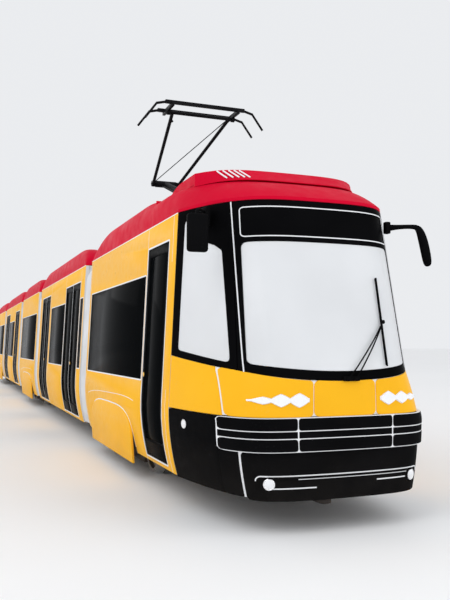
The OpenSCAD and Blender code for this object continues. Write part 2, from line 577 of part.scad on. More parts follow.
module pantograph_head() color([0.08, 0.08, 0.08]) for (s = [0, 1]) mirror([0, s, 0]) {
    difference() {
        union() {
            shaft_y(panto_x, head_z, 445, 490, 36);
            box([panto_x - 230, panto_x + 230], [450, 485], [head_z + 20, head_z + 75]);
            for (d = [-210, 170]) box([panto_x + d, panto_x + d + 40], [0, 565], [head_z + 55, head_z + 100]);
        }
        shaft_y(panto_x, head_z, 420, 520, 15 + run_gap);
    }
    for (d = [-190, 190]) {
        rod([panto_x + d, 545, head_z + 77], [panto_x + d, 690, head_z + 40], 17);
        rod([panto_x + d, 680, head_z + 48], [panto_x + d, head_half, head_z - 170], 15);
    }
}

front_body_shell();
front_roof_covers();
front_windows();
front_door();
cab_front_panel();
windscreen_frame();
cab_glass();
destination_display();
front_bumper();
front_valance();
headlamps();
mirrors();
wiper();
driver_desk();
cab_bulkhead();
front_seats();
front_bogie_covers();
front_bogie_frame();
second_body_shell();
second_roof_covers();
second_windows();
second_doors();
second_seats();
middle_body_shell();
middle_roof_covers();
middle_windows();
middle_seats();
middle_bogie_covers();
middle_bogie_frame();
fourth_body_shell();
fourth_roof_covers();
fourth_windows();
fourth_doors();
fourth_seats();
rear_body_shell();
rear_roof_covers();
rear_windows();
rear_door();
rear_end_panel();
rear_glass();
rear_bumper();
tail_lamps();
rear_seats();
rear_bogie_covers();
rear_bogie_frame();
steel() wheelset(bogie_x + half_base);  // wheelset_1
steel() wheelset(bogie_x - half_base);  // wheelset_2
steel() wheelset(half_base);  // wheelset_3
steel() wheelset(-half_base);  // wheelset_4
steel() wheelset(-bogie_x + half_base);  // wheelset_5
steel() wheelset(-bogie_x - half_base);  // wheelset_6
bellows_front();
bellows_second();
bellows_fourth();
bellows_rear();
pantograph_base();
pantograph_lower_arm();
pantograph_upper_arm();
pantograph_head();
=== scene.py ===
"""Looks of an articulated low-floor tram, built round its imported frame.

Metres; X runs forward along the tram, Y to its left, Z up from the wheel flanges.
"""

import json
import logging
import math
from collections.abc import Callable, Iterable, Sequence
from dataclasses import dataclass
from enum import Enum

import bpy
from mathutils import Matrix, Vector

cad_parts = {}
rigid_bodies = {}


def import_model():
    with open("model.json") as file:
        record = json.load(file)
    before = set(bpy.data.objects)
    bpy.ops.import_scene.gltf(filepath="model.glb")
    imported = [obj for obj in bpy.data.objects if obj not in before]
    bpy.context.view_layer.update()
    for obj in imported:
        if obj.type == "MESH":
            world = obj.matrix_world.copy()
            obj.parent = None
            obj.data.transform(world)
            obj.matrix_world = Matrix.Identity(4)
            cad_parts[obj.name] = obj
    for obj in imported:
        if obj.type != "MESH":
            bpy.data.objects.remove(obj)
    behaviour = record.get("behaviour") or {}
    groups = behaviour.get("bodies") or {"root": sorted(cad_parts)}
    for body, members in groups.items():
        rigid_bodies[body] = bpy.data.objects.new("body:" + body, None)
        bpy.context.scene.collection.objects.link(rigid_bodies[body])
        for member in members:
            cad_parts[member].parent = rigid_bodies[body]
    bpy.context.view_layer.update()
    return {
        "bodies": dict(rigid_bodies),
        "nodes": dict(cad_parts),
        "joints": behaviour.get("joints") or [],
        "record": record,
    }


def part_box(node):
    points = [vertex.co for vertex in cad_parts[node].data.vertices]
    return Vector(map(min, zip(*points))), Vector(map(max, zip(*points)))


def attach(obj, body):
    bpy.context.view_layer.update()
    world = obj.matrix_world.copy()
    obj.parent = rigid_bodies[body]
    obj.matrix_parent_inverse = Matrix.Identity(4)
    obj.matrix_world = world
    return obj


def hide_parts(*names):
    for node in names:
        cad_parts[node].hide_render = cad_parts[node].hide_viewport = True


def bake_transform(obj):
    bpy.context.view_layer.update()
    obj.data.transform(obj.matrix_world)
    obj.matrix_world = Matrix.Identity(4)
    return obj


LOG = logging.getLogger("tram")
Point = tuple[float, float, float]
Flat = tuple[float, float]
Object = bpy.types.Object
Material = bpy.types.Material

ROOF_Z = 2.89
SILL_Z = 0.31
FLOOR_TOP = 0.41
WINDOW_LOW = 1.185
WINDOW_TOP = 2.36
DOOR_LOW = 0.36
DOOR_TOP = 2.65
AXLE_Z = 0.315
FRAME_TOP = 2.885
VALANCE_TOP = 0.684
DISPLAY_LOW = 2.545
DISPLAY_TOP = 2.825
GLASS_SHARE = 0.69


class Body(Enum):
    """The moving bodies that pieces ride on."""

    FRONT = "front_section"
    SECOND = "second_section"
    MIDDLE = "middle_section"
    FOURTH = "fourth_section"
    REAR = "rear_section"
    LOWER_ARM = "pantograph_lower_arm"
    UPPER_ARM = "pantograph_upper_arm"
    HEAD = "pantograph_head"


class Side(Enum):
    """Sides of the tram, as signs of Y."""

    LEFT = 1
    RIGHT = -1


# ---------------------------------------------------------------- finishes


class Board:
    """Lays out the shader nodes of one material."""

    def __init__(self, name: str) -> None:
        """Starts a material with a surface shader and an output.

        Args:
            name: The material's name.
        """
        self.material = bpy.data.materials.new(name)
        self.material.use_nodes = True
        self.tree = self.material.node_tree
        self.shader = self.tree.nodes["Principled BSDF"]
        coords = self.add("ShaderNodeTexCoord")
        self.place = coords.outputs["Object"]

    def add(self, kind: str, **inputs: object) -> bpy.types.Node:
        """Adds a node and sets its inputs.

        Args:
            kind: The node's type name.
            **inputs: Socket values, with _ in place of a space.

        Returns:
            The new node.
        """
        node = self.tree.nodes.new(kind)
        for key, value in inputs.items():
            node.inputs[key.replace("_", " ")].default_value = value
        return node

    def join(self, source: bpy.types.NodeSocket, target: bpy.types.NodeSocket) -> None:
        """Links two sockets."""
        self.tree.links.new(source, target)

    def noise(self, scale: float, detail: float = 4.0, stretch: Point = (1, 1, 1)) -> bpy.types.NodeSocket:
        """Adds a noise pattern on the object's place.

        Args:
            scale: Pattern repeats per metre.
            detail: Octaves of the noise.
            stretch: How much each axis is scaled first.

        Returns:
            The noise value.
        """
        node = self.add("ShaderNodeTexNoise", Scale=scale, Detail=detail)
        if stretch == (1, 1, 1):
            self.join(self.place, node.inputs["Vector"])
        else:
            turn = self.add("ShaderNodeMapping", Scale=stretch)
            self.join(self.place, turn.inputs["Vector"])
            self.join(turn.outputs["Vector"], node.inputs["Vector"])
        return node.outputs["Fac"]

    def span(self, value: bpy.types.NodeSocket, low: Flat, high: Flat) -> bpy.types.NodeSocket:
        """Maps a value from one range to another.

        Args:
            value: The socket to map.
            low: The incoming range.
            high: The outgoing range.

        Returns:
            The mapped value, held inside its range.
        """
        node = self.add("ShaderNodeMapRange")
        node.inputs["From Min"].default_value, node.inputs["From Max"].default_value = low
        node.inputs["To Min"].default_value, node.inputs["To Max"].default_value = high
        self.join(value, node.inputs["Value"])
        return node.outputs["Result"]

    def blend(self, share: bpy.types.NodeSocket, a: object, b: object) -> bpy.types.NodeSocket:
        """Mixes two colours.

        Args:
            share: How much of b shows.
            a: A colour or a socket.
            b: A colour or a socket.

        Returns:
            The mixed colour.
        """
        node = self.tree.nodes.new("ShaderNodeMix")
        node.data_type = "RGBA"
        self.join(share, node.inputs[0])
        for socket, value in ((node.inputs[6], a), (node.inputs[7], b)):
            if isinstance(value, bpy.types.NodeSocket):
                self.join(value, socket)
            else:
                socket.default_value = (*value, 1.0)
        return node.outputs[2]

    def times(self, a: bpy.types.NodeSocket, b: bpy.types.NodeSocket) -> bpy.types.NodeSocket:
        """Multiplies two values and returns the product."""
        node = self.tree.nodes.new("ShaderNodeMath")
        node.operation = "MULTIPLY"
        self.join(a, node.inputs[0])
        self.join(b, node.inputs[1])
        return node.outputs[0]

    def relief(self, height: bpy.types.NodeSocket, depth: float) -> None:
        """Raises the surface by a height pattern.

        Args:
            height: The pattern.
            depth: How deep it is, in metres.
        """
        node = self.add("ShaderNodeBump", Strength=1.0, Distance=depth)
        self.join(height, node.inputs["Height"])
        self.join(node.outputs["Normal"], self.shader.inputs["Normal"])


@dataclass(frozen=True)
class Finish:
    """A painted or moulded surface with grain, uneven tone, road dust and scattered rubbed patches."""

    name: str
    colour: Point
    rough: float = 0.4
    metal: float = 0.0
    coat: float = 0.0
    uneven: float = 0.06
    patch: float = 1.6
    grain: float = 420.0
    grain_depth: float = 0.00012
    dust: float = 0.0
    dust_top: float = 1.1
    dust_colour: Point = (0.20, 0.17, 0.14)
    rub: float = 0.0
    rub_colour: Point = (0.5, 0.48, 0.44)
    shine: float = 0.5
    ior: float = 1.5
    stretch: Point = (1, 1, 1)
    alpha: float = 1.0
    glow: float = 0.0

    def make(self) -> Material:
        """Builds the material and returns it."""
        return self.lay().material

    def lay(self) -> Board:
        """Lays out the finish.

        Returns:
            The board with its material.
        """
        board = Board(self.name)
        tone = board.span(board.noise(self.patch, 6.0), (0.3, 0.7), (0.0, 1.0))
        dark = tuple(c * (1 - self.uneven) for c in self.colour)
        light = tuple(min(1.0, c * (1 + self.uneven)) for c in self.colour)
        colour = board.blend(tone, dark, light)
        rough = board.span(board.noise(self.patch * 7, 5.0), (0.3, 0.7),
            (self.rough * 0.8, min(1, self.rough * 1.25)))
        if self.dust > 0:
            axes = board.tree.nodes.new("ShaderNodeSeparateXYZ")
            board.join(board.place, axes.inputs[0])
            low = board.span(axes.outputs["Z"], (0.05, self.dust_top), (self.dust, 0.0))
            settled = board.times(low, board.span(board.noise(5.0, 8.0, (0.35, 1, 1)), (0.25, 0.75), (0.25, 1.0)))
            colour = board.blend(settled, colour, self.dust_colour)
            duller = board.tree.nodes.new("ShaderNodeMath")
            duller.operation = "MULTIPLY_ADD"
            board.join(settled, duller.inputs[0])
            duller.inputs[1].default_value = 0.35
            board.join(rough, duller.inputs[2])
            rough = duller.outputs[0]
        if self.rub > 0:
            worn = board.times(board.span(board.noise(2.3, 4.0), (0.56, 0.66), (0.0, self.rub)),
                board.span(board.noise(60.0, 8.0, (0.3, 1, 1)), (0.60, 0.68), (0.0, 1.0)))
            colour = board.blend(worn, colour, self.rub_colour)
        self.pattern(board)
        board.join(colour, board.shader.inputs["Base Color"])
        board.join(rough, board.shader.inputs["Roughness"])
        board.shader.inputs["Metallic"].default_value = self.metal
        self.sheen(board, 0.06)
        if self.glow > 0:
            board.shader.inputs["Emission Color"].default_value = (*self.colour, 1.0)
            board.shader.inputs["Emission Strength"].default_value = self.glow
        return board

    def sheen(self, board: Board, coat_rough: float) -> None:
        """Sets how the surface reflects and how much shows through.

        Args:
            board: The finish's board.
            coat_rough: Roughness of its clear coat.
        """
        inputs = board.shader.inputs
        inputs["IOR"].default_value = self.ior
        inputs["Specular IOR Level"].default_value = self.shine
        inputs["Coat Weight"].default_value = self.coat
        inputs["Coat Roughness"].default_value = coat_rough
        inputs["Alpha"].default_value = self.alpha
        board.material.diffuse_color = (*self.colour, self.alpha)

    def pattern(self, board: Board) -> None:
        """Gives the surface its fine grain."""
        board.relief(board.noise(self.grain, 3.0, self.stretch), self.grain_depth)


@dataclass(frozen=True)
class Weave(Finish):
    """Woven moquette: crossing threads with speckles of a second yarn."""

    threads: float = 380.0
    yarn: Point = (0.55, 0.09, 0.10)

    def lay(self) -> Board:
        """Lays out the cloth, with the second yarn as small flecks.

        Returns:
            The board with its material.
        """
        board = super().lay()
        base = board.shader.inputs["Base Color"]
        cells = board.add("ShaderNodeTexVoronoi", Scale=46.0)
        board.join(board.place, cells.inputs["Vector"])
        fleck = board.span(cells.outputs["Distance"], (0.22, 0.3), (0.8, 0.0))
        board.join(board.blend(fleck, base.links[0].from_socket, self.yarn), base)
        board.shader.inputs["Sheen Weight"].default_value = 0.35
        return board

    def pattern(self, board: Board) -> None:
        """Crosses two sets of threads."""
        waves = []
        for direction in ("X", "Z"):
            wave = board.add("ShaderNodeTexWave", Scale=self.threads / 6, Distortion=0.4)
            wave.bands_direction = direction
            board.join(board.place, wave.inputs["Vector"])
            waves.append(wave.outputs["Fac"])
        board.relief(board.times(*waves), 0.0006)


@dataclass(frozen=True)
class Speckled(Finish):
    """Floor covering with fine coloured grit."""

    grit: Point = (0.62, 0.62, 0.6)

    def pattern(self, board: Board) -> None:
        """Scatters the grit as tiny raised cells."""
        cells = board.add("ShaderNodeTexVoronoi", Scale=160.0)
        board.join(board.place, cells.inputs["Vector"])
        board.relief(board.span(cells.outputs["Distance"], (0.0, 0.5), (1.0, 0.0)), 0.0005)


@dataclass(frozen=True)
class Pane(Finish):
    """Glass: a smooth tinted sheet with faint smears."""

    def lay(self) -> Board:
        """Lays out the glass.

        Returns:
            The board with its material.
        """
        board = Board(self.name)
        tone = board.span(board.noise(0.9, 3.0), (0.3, 0.7), (0.0, 1.0))
        deeper = tuple(c * 0.9 for c in self.colour)
        board.join(board.blend(tone, deeper, self.colour), board.shader.inputs["Base Color"])
        board.join(board.span(board.noise(3.5, 7.0, (1, 1, 0.4)), (0.4, 0.75), (self.rough, self.rough + 0.05)),
            board.shader.inputs["Roughness"])
        board.relief(board.noise(0.8, 1.0), 0.0012)
        self.sheen(board, 0.02)
        return board


@dataclass(frozen=True)
class Ribbed(Finish):
    """Lens glass with moulded ribs."""

    ribs: float = 60.0

    def pattern(self, board: Board) -> None:
        """Moulds upright ribs."""
        wave = board.add("ShaderNodeTexWave", Scale=self.ribs / 6)
        wave.bands_direction = "Y"
        board.join(board.place, wave.inputs["Vector"])
        board.relief(wave.outputs["Fac"], 0.0012)


class Paint(Enum):
    """Every finish of the tram; the value is its recipe."""

    YELLOW = Finish("yellow_enamel", (1.0, 0.50, 0.018), 0.34, coat=0.03, uneven=0.035, dust=0.28, dust_top=0.75,
        dust_colour=(0.42, 0.27, 0.12), rub=0.2, rub_colour=(0.85, 0.52, 0.16), shine=0.25, ior=1.14)
    RED = Finish("crimson_enamel", (0.64, 0.004, 0.030), 0.42, uneven=0.05, patch=0.9, rub=0.15,
        rub_colour=(0.5, 0.05, 0.07), shine=0.2, ior=1.10)
    BLACK = Finish("black_gloss", (0.0035, 0.0035, 0.004), 0.30, uneven=0.2, shine=0.15, ior=1.05)
    BUMPER = Finish("black_moulding", (0.0045, 0.0045, 0.005), 0.5, uneven=0.25, grain=900.0, grain_depth=0.0003,
        dust=0.06, dust_top=0.75, rub=0.12, rub_colour=(0.05, 0.05, 0.052), shine=0.2, ior=1.07)
    TRIM = Finish("pale_seal", (0.86, 0.87, 0.89), 0.55, uneven=0.04, dust=0.12, shine=0.3)
    # Nearly opaque black glass: partly the glass's real tint, partly painted shade standing in for the dark inside seen
    # through it.
    TINTED = Pane("tinted_glass", (0.003, 0.0035, 0.004), 0.07, alpha=0.985, shine=0.06, ior=1.05)
    CLEAR = Pane("clear_glass", (0.93, 0.945, 0.965), 0.05, alpha=0.78, shine=0.3, ior=1.35)
    LENS = Ribbed("lamp_lens", (0.90, 0.91, 0.93), 0.10, coat=0.6, alpha=0.88, uneven=0.03, glow=0.12)
    RED_LENS = Ribbed("red_lens", (0.50, 0.002, 0.005), 0.14, coat=0.3, alpha=0.95, uneven=0.05)
    REFLECTOR = Finish("lamp_bowl", (0.92, 0.92, 0.93), 0.25, metal=0.6, uneven=0.03)
    LINING = Finish("grey_laminate", (0.66, 0.67, 0.68), 0.5, uneven=0.03, grain=300.0)
    CEILING = Finish("white_ceiling_painted_glow_and_lamps", (0.85, 0.86, 0.87), 0.6, uneven=0.03, glow=0.35)
    # White ceiling with a glow: on the ceiling faces and the cab ceiling plate this is a painted glow, as they are no
    # lamps; on the ceiling light strips it is their own lamp light.
    FLOORING = Speckled("speckled_floor", (0.13, 0.14, 0.16), 0.65, uneven=0.25, patch=4.0)
    DESK = Finish("dark_desk", (0.16, 0.165, 0.175), 0.55, uneven=0.12, grain=800.0, grain_depth=0.0004)
    MOQUETTE = Weave("seat_moquette", (0.03, 0.045, 0.11), 0.85, uneven=0.12, patch=9.0)
    SHELL = Finish("seat_shell", (0.24, 0.25, 0.27), 0.45, uneven=0.06, rub=0.2)
    RAIL = Finish("yellow_rail", (0.95, 0.52, 0.03), 0.3, coat=0.4, uneven=0.03)
    ROOF_GREY = Finish("roof_grey", (0.36, 0.36, 0.37), 0.6, uneven=0.15, grain=260.0, grain_depth=0.0005, rub=0.2)
    ROOF_DECK = Finish("roof_membrane", (0.20, 0.20, 0.21), 0.8, uneven=0.2, grain=160.0, grain_depth=0.0008, rub=0.3,
        rub_colour=(0.3, 0.29, 0.27))
    FRAME = Finish("frame_paint", (0.030, 0.030, 0.032), 0.6, uneven=0.3, patch=5.0, grain=200.0, grain_depth=0.0008,
        dust=0.65, dust_top=0.9, dust_colour=(0.11, 0.075, 0.05), rub=0.4, rub_colour=(0.2, 0.11, 0.06))
    STEEL = Finish("wheel_steel", (0.26, 0.24, 0.225), 0.42, metal=0.85, uneven=0.25, patch=6.0, dust=0.5,
        dust_top=0.7, dust_colour=(0.12, 0.07, 0.045), rub=0.3)
    TREAD = Finish("polished_tread", (0.56, 0.55, 0.54), 0.2, metal=1.0, uneven=0.1, stretch=(1, 0.1, 1))
    BELLOWS = Finish("bellows_cloth", (0.78, 0.79, 0.81), 0.75, uneven=0.06, patch=3.0, grain=1100.0,
        grain_depth=0.0005, dust=0.3, dust_top=0.8)
    ARM = Finish("arm_black", (0.006, 0.006, 0.007), 0.45, uneven=0.25, patch=5.0, rub=0.3,
        rub_colour=(0.06, 0.055, 0.05), shine=0.3, ior=1.2)
    CARBON = Finish("carbon_strip", (0.012, 0.012, 0.013), 0.4, uneven=0.3, patch=8.0, stretch=(1, 0.05, 1),
        shine=0.3, ior=1.2)
    CERAMIC = Finish("brown_ceramic", (0.16, 0.045, 0.02), 0.18, coat=0.8, uneven=0.12)
    MIRROR = Finish("mirror_glass", (0.86, 0.88, 0.9), 0.02, metal=1.0, uneven=0.02)
    FLOOR = Finish("studio_floor", (0.93, 0.93, 0.93), 0.7, uneven=0.01, patch=0.12, shine=0.2)


class PaintShop:
    """Makes each finish once and puts it on pieces."""

    def __init__(self) -> None:
        """Starts with no finish made."""
        self.made: dict[Paint, Material] = {}

    def get(self, paint: Paint) -> Material:
        """Returns the material of a finish, made on first use."""
        if paint not in self.made:
            self.made[paint] = paint.value.make()
        return self.made[paint]

    def dress(self, obj: Object, paint: Paint, *rules: tuple[Paint, Callable[[Vector, Vector], bool]]) -> Object:
        """Paints a piece, and some of its faces differently.

        Args:
            obj: The piece.
            paint: Its main finish.
            *rules: Pairs of a finish and a test of a face's middle and normal.

        Returns:
            The piece.
        """
        obj.data.materials.clear()
        for item in (paint, *(r[0] for r in rules)):
            obj.data.materials.append(self.get(item))
        for face in obj.data.polygons:
            fits = (k for k, (_, test) in enumerate(rules, 1) if test(face.center, face.normal))
            face.material_index = next(fits, 0)
        return obj


# ---------------------------------------------------------------- modelling


class Bench:
    """Modelling moves shared by every sub-assembly."""

    @staticmethod
    def clear() -> None:
        """Leaves edit mode and deselects everything."""
        if bpy.context.object and bpy.context.object.mode != "OBJECT":
            bpy.ops.object.mode_set(mode="OBJECT")
        bpy.ops.object.select_all(action="DESELECT")

    @staticmethod
    def hold(obj: Object) -> Object:
        """Makes a piece the only one selected."""
        Bench.clear()
        obj.select_set(True)
        bpy.context.view_layer.objects.active = obj
        return obj

    @staticmethod
    def settle(obj: Object, name: str) -> Object:
        """Names a piece and moves its place into its mesh.

        Args:
            obj: The piece.
            name: Its name.

        Returns:
            The piece, with its object at the origin.
        """
        Bench.hold(obj)
        bpy.ops.object.transform_apply(location=True, rotation=True, scale=True)
        obj.name = obj.data.name = name
        return obj

    @staticmethod
    def modify(obj: Object, kind: str, **settings: object) -> Object:
        """Adds a modifier and applies it.

        Args:
            obj: The piece.
            kind: The modifier's type.
            **settings: Its settings.

        Returns:
            The piece.
        """
        Bench.hold(obj)
        modifier = obj.modifiers.new(kind.lower(), kind)
        for key, value in settings.items():
            setattr(modifier, key, value)
        bpy.ops.object.modifier_apply(modifier=modifier.name)
        return obj

    @staticmethod
    def edit(obj: Object, *moves: Callable[[], object]) -> Object:
        """Runs edit-mode operators on the whole mesh.

        Args:
            obj: The piece.
            *moves: Calls to make with everything selected.

        Returns:
            The piece.
        """
        Bench.hold(obj)
        bpy.ops.object.mode_set(mode="EDIT")
        bpy.ops.mesh.select_all(action="SELECT")
        for move in moves:
            move()
        bpy.ops.object.mode_set(mode="OBJECT")
        return obj

    @staticmethod
    def soften(obj: Object, width: float, segments: int = 2, angle: float = 35.0) -> Object:
        """Rounds sharp edges and shades the rest smooth.

        Args:
            obj: The piece.
            width: Width of the rounding, 0 for none.
            segments: Faces across the rounding.
            angle: Edges sharper than this are rounded, in degrees.

        Returns:
            The piece.
        """
        if width > 0:
            Bench.modify(obj, "BEVEL", width=width, segments=segments, limit_method="ANGLE",
                angle_limit=math.radians(angle), use_clamp_overlap=True)
        Bench.hold(obj)
        bpy.ops.object.shade_smooth_by_angle(angle=math.radians(angle))
        return obj

    @staticmethod
    def box(name: str, low: Point, high: Point, bevel: float = 0.004, segments: int = 2) -> Object:
        """Makes a block with rounded edges between two corners.

        Args:
            name: The piece's name.
            low: Its lowest corner.
            high: Its highest corner.
            bevel: Radius of its edges.
            segments: Faces across a rounded edge.

        Returns:
            The block.
        """
        Bench.clear()
        mid = [(a + b) / 2 for a, b in zip(low, high)]
        bpy.ops.mesh.primitive_cube_add(size=1, location=mid, scale=[b - a for a, b in zip(low, high)])
        return Bench.soften(Bench.settle(bpy.context.object, name), bevel, segments)

    @staticmethod
    def rod(name: str, a: Point, b: Point, radius: float, sides: int = 20, bevel: float = 0.0,
            tip: float | None = None) -> Object:
        """Makes a round bar between two points.

        Args:
            name: The piece's name.
            a: One end.
            b: The other end.
            radius: The bar's radius.
            sides: Faces round it.
            bevel: Rounding of its rims.
            tip: Radius at b, where it tapers.

        Returns:
            The bar.
        """
        Bench.clear()
        start, end = Vector(a), Vector(b)
        turn = (end - start).to_track_quat("Z", "Y").to_euler()
        bpy.ops.mesh.primitive_cone_add(vertices=sides, radius1=radius, radius2=radius if tip is None else tip,
            depth=(end - start).length, location=(start + end) / 2, rotation=turn)
        return Bench.soften(Bench.settle(bpy.context.object, name), bevel, 2)

    @staticmethod
    def tube(name: str, points: Sequence[Point], radius: float, sides: int = 3, smooth: bool = True) -> Object:
        """Bends a round tube along points.

        Args:
            name: The piece's name.
            points: Its centreline.
            radius: Its radius.
            sides: Curve resolution round it.
            smooth: Whether the line is a smooth curve.

        Returns:
            The tube as a mesh.
        """
        Bench.clear()
        curve = bpy.data.curves.new(name, "CURVE")
        curve.dimensions, curve.bevel_depth, curve.bevel_resolution = "3D", radius, sides
        curve.use_fill_caps = True
        curve.resolution_u = 6
        spline = curve.splines.new("NURBS" if smooth else "POLY")
        spline.points.add(len(points) - 1)
        for knot, point in zip(spline.points, points):
            knot.co = (*point, 1.0)
        if smooth:
            spline.order_u, spline.use_endpoint_u = 3, True
        obj = bpy.data.objects.new(name, curve)
        bpy.context.scene.collection.objects.link(obj)
        Bench.hold(obj)
        bpy.ops.object.convert(target="MESH")
        obj = bpy.context.object
        Bench.edit(obj, lambda: bpy.ops.mesh.remove_doubles(threshold=1e-6),
            lambda: bpy.ops.mesh.normals_make_consistent(inside=False))
        return Bench.soften(Bench.settle(obj, name), 0.0)

    @staticmethod
    def sheet(name: str, across: int, up: int, place: Callable[[float, float], Vector]) -> Object:
        """Shapes a grid into a curved sheet.

        Args:
            name: The piece's name.
            across: Cells along the first direction.
            up: Cells along the second.
            place: Gives the point for shares 0 to 1 of both.

        Returns:
            The sheet; its face looks along first cross second direction.
        """
        Bench.clear()
        bpy.ops.mesh.primitive_grid_add(x_subdivisions=across, y_subdivisions=up, size=2)
        obj = bpy.context.object
        for vertex in obj.data.vertices:
            u = round((vertex.co.x + 1) / 2 * across) / across
            v = round((vertex.co.y + 1) / 2 * up) / up
            vertex.co = place(u, v)
        return Bench.settle(obj, name)

    @staticmethod
    def thicken(obj: Object, thickness: float, offset: float = -1.0) -> Object:
        """Gives a sheet its thickness behind its face, or before it with offset 1."""
        return Bench.modify(obj, "SOLIDIFY", thickness=thickness, offset=offset, use_even_offset=True)

    @staticmethod
    def stencil(outline: Sequence[Flat], axis: str, near: float, far: float) -> Object:
        """Extrudes a flat outline into a cutting block.

        Args:
            outline: Its corners: (y, z) for axis X, (x, z) for axis Y.
            axis: The direction it runs along.
            near: Where it starts.
            far: Where it ends.

        Returns:
            The closed block.
        """
        Bench.clear()
        bpy.ops.mesh.primitive_circle_add(vertices=len(outline), fill_type="NGON")
        obj = bpy.context.object
        for vertex, (a, z) in zip(obj.data.vertices, outline):
            vertex.co = (near, a, z) if axis == "X" else (a, near, z)
        run = (far - near, 0, 0) if axis == "X" else (0, far - near, 0)
        Bench.edit(obj, lambda: bpy.ops.mesh.extrude_region_move(TRANSFORM_OT_translate={"value": run}),
            lambda: bpy.ops.mesh.select_all(action="SELECT"),
            lambda: bpy.ops.mesh.normals_make_consistent(inside=False))
        return Bench.settle(obj, "stencil")

    @staticmethod
    def cut(obj: Object, cutter: Object, keep: bool = False) -> Object:
        """Cuts a piece with a block, or keeps what lies in the block.

        Args:
            obj: The piece.
            cutter: The block; it is used up.
            keep: True keeps the inside.

        Returns:
            The piece.
        """
        Bench.modify(obj, "BOOLEAN", operation="INTERSECT" if keep else "DIFFERENCE", object=cutter, solver="EXACT")
        bpy.data.objects.remove(cutter, do_unlink=True)
        return obj

    @staticmethod
    def join(name: str, parts: Iterable[Object]) -> Object:
        """Joins parts into one piece, each keeping its materials.

        Args:
            name: The piece's name.
            parts: What to join.

        Returns:
            The joined piece.
        """
        parts = list(parts)
        Bench.hold(parts[0])
        for part in parts[1:]:
            part.select_set(True)
        if len(parts) > 1:
            bpy.ops.object.join()
        return Bench.settle(parts[0], name)

    @staticmethod
    def flip(obj: Object, axis: int) -> Object:
        """Turns a piece into its mirror image across a plane through the origin.

        Args:
            obj: The piece.
            axis: 0 to mirror along X, 1 along Y.

        Returns:
            The piece, still facing outwards.
        """
        for vertex in obj.data.vertices:
            vertex.co[axis] = -vertex.co[axis]
        obj.data.flip_normals()
        return obj

    @staticmethod
    def twin(obj: Object, axis: int, name: str) -> Object:
        """Copies a piece as its mirror image.

        Args:
            obj: The piece.
            axis: 0 to mirror along X, 1 along Y.
            name: The copy's name.

        Returns:
            The copy, with its own mesh.
        """
        copy = obj.copy()
        copy.data = obj.data.copy()
        copy.name = copy.data.name = name
        bpy.context.scene.collection.objects.link(copy)
        return Bench.flip(copy, axis)

    @staticmethod
    def from_node(frame: dict, node: str, name: str, width: float, segments: int = 2) -> Object:
        """Copies a CAD node, cleans its faces and rounds its edges.

        Args:
            node: The node to copy.
            name: The piece's name.
            width: Rounding of its edges.
            segments: Faces across the rounding.

        Returns:
            The refined copy.
        """
        Bench.clear()
        source = frame["nodes"][node]
        obj = bpy.data.objects.new(name, source.data.copy())
        bpy.context.scene.collection.objects.link(obj)
        Bench.edit(obj, lambda: bpy.ops.mesh.remove_doubles(threshold=2e-5),
            lambda: bpy.ops.mesh.dissolve_limited(angle_limit=math.radians(0.6)))
        Bench.hold(obj)
        bpy.ops.object.shade_flat()
        return Bench.soften(Bench.settle(obj, name), width, segments)

    @staticmethod
    def slim(obj: Object, axis: Flat, amount: float, near: Callable[[Vector, float], bool]) -> Object:
        """Draws a journal towards its crosswise axis, so that it turns free in its bore.

        Args:
            obj: The piece.
            axis: X and Z of the axis.
            amount: Share of its radius that it keeps.
            near: Says, from a vertex and its distance from the axis, whether it is on the journal.

        Returns:
            The same piece.
        """
        for vertex in obj.data.vertices:
            dx, dz = vertex.co.x - axis[0], vertex.co.z - axis[1]
            if near(vertex.co, math.hypot(dx, dz)):
                vertex.co.x, vertex.co.z = axis[0] + dx * amount, axis[1] + dz * amount
        return obj

    @staticmethod
    def loose(obj: Object) -> list[Object]:
        """Splits a piece into its separate solids and returns them."""
        Bench.hold(obj)
        bpy.ops.mesh.separate(type="LOOSE")
        return list(bpy.context.selected_objects)


def rounded(corners: Sequence[Flat], radius: float, steps: int = 6) -> list[Flat]:
    """Rounds the sharp corners of a closed outline.

    Args:
        corners: The outline's corners in order.
        radius: Radius of the rounding.
        steps: Segments of each arc.

    Returns:
        The outline with arcs; nearly straight corners stay as they are.
    """
    out: list[Flat] = []
    count = len(corners)
    for k in range(count):
        here = Vector(corners[k])
        back = Vector(corners[k - 1]) - here
        ahead = Vector(corners[(k + 1) % count]) - here
        angle = back.angle(ahead)
        if angle > math.radians(150):
            out.append(tuple(here))
            continue
        reach = min(radius / math.tan(angle / 2), back.length * 0.48, ahead.length * 0.48)
        a, b = here + back.normalized() * reach, here + ahead.normalized() * reach
        for s in range(steps + 1):
            t = s / steps
            out.append(tuple(a.lerp(here, t).lerp(here.lerp(b, t), t)))
    return out


def mix(a: float, b: float, t: float) -> float:
    """Returns the value a share t of the way from a to b."""
    return a + (b - a) * t


def share(t: float) -> float:
    """Holds a value between 0 and 1."""
    return max(0.0, min(1.0, t))


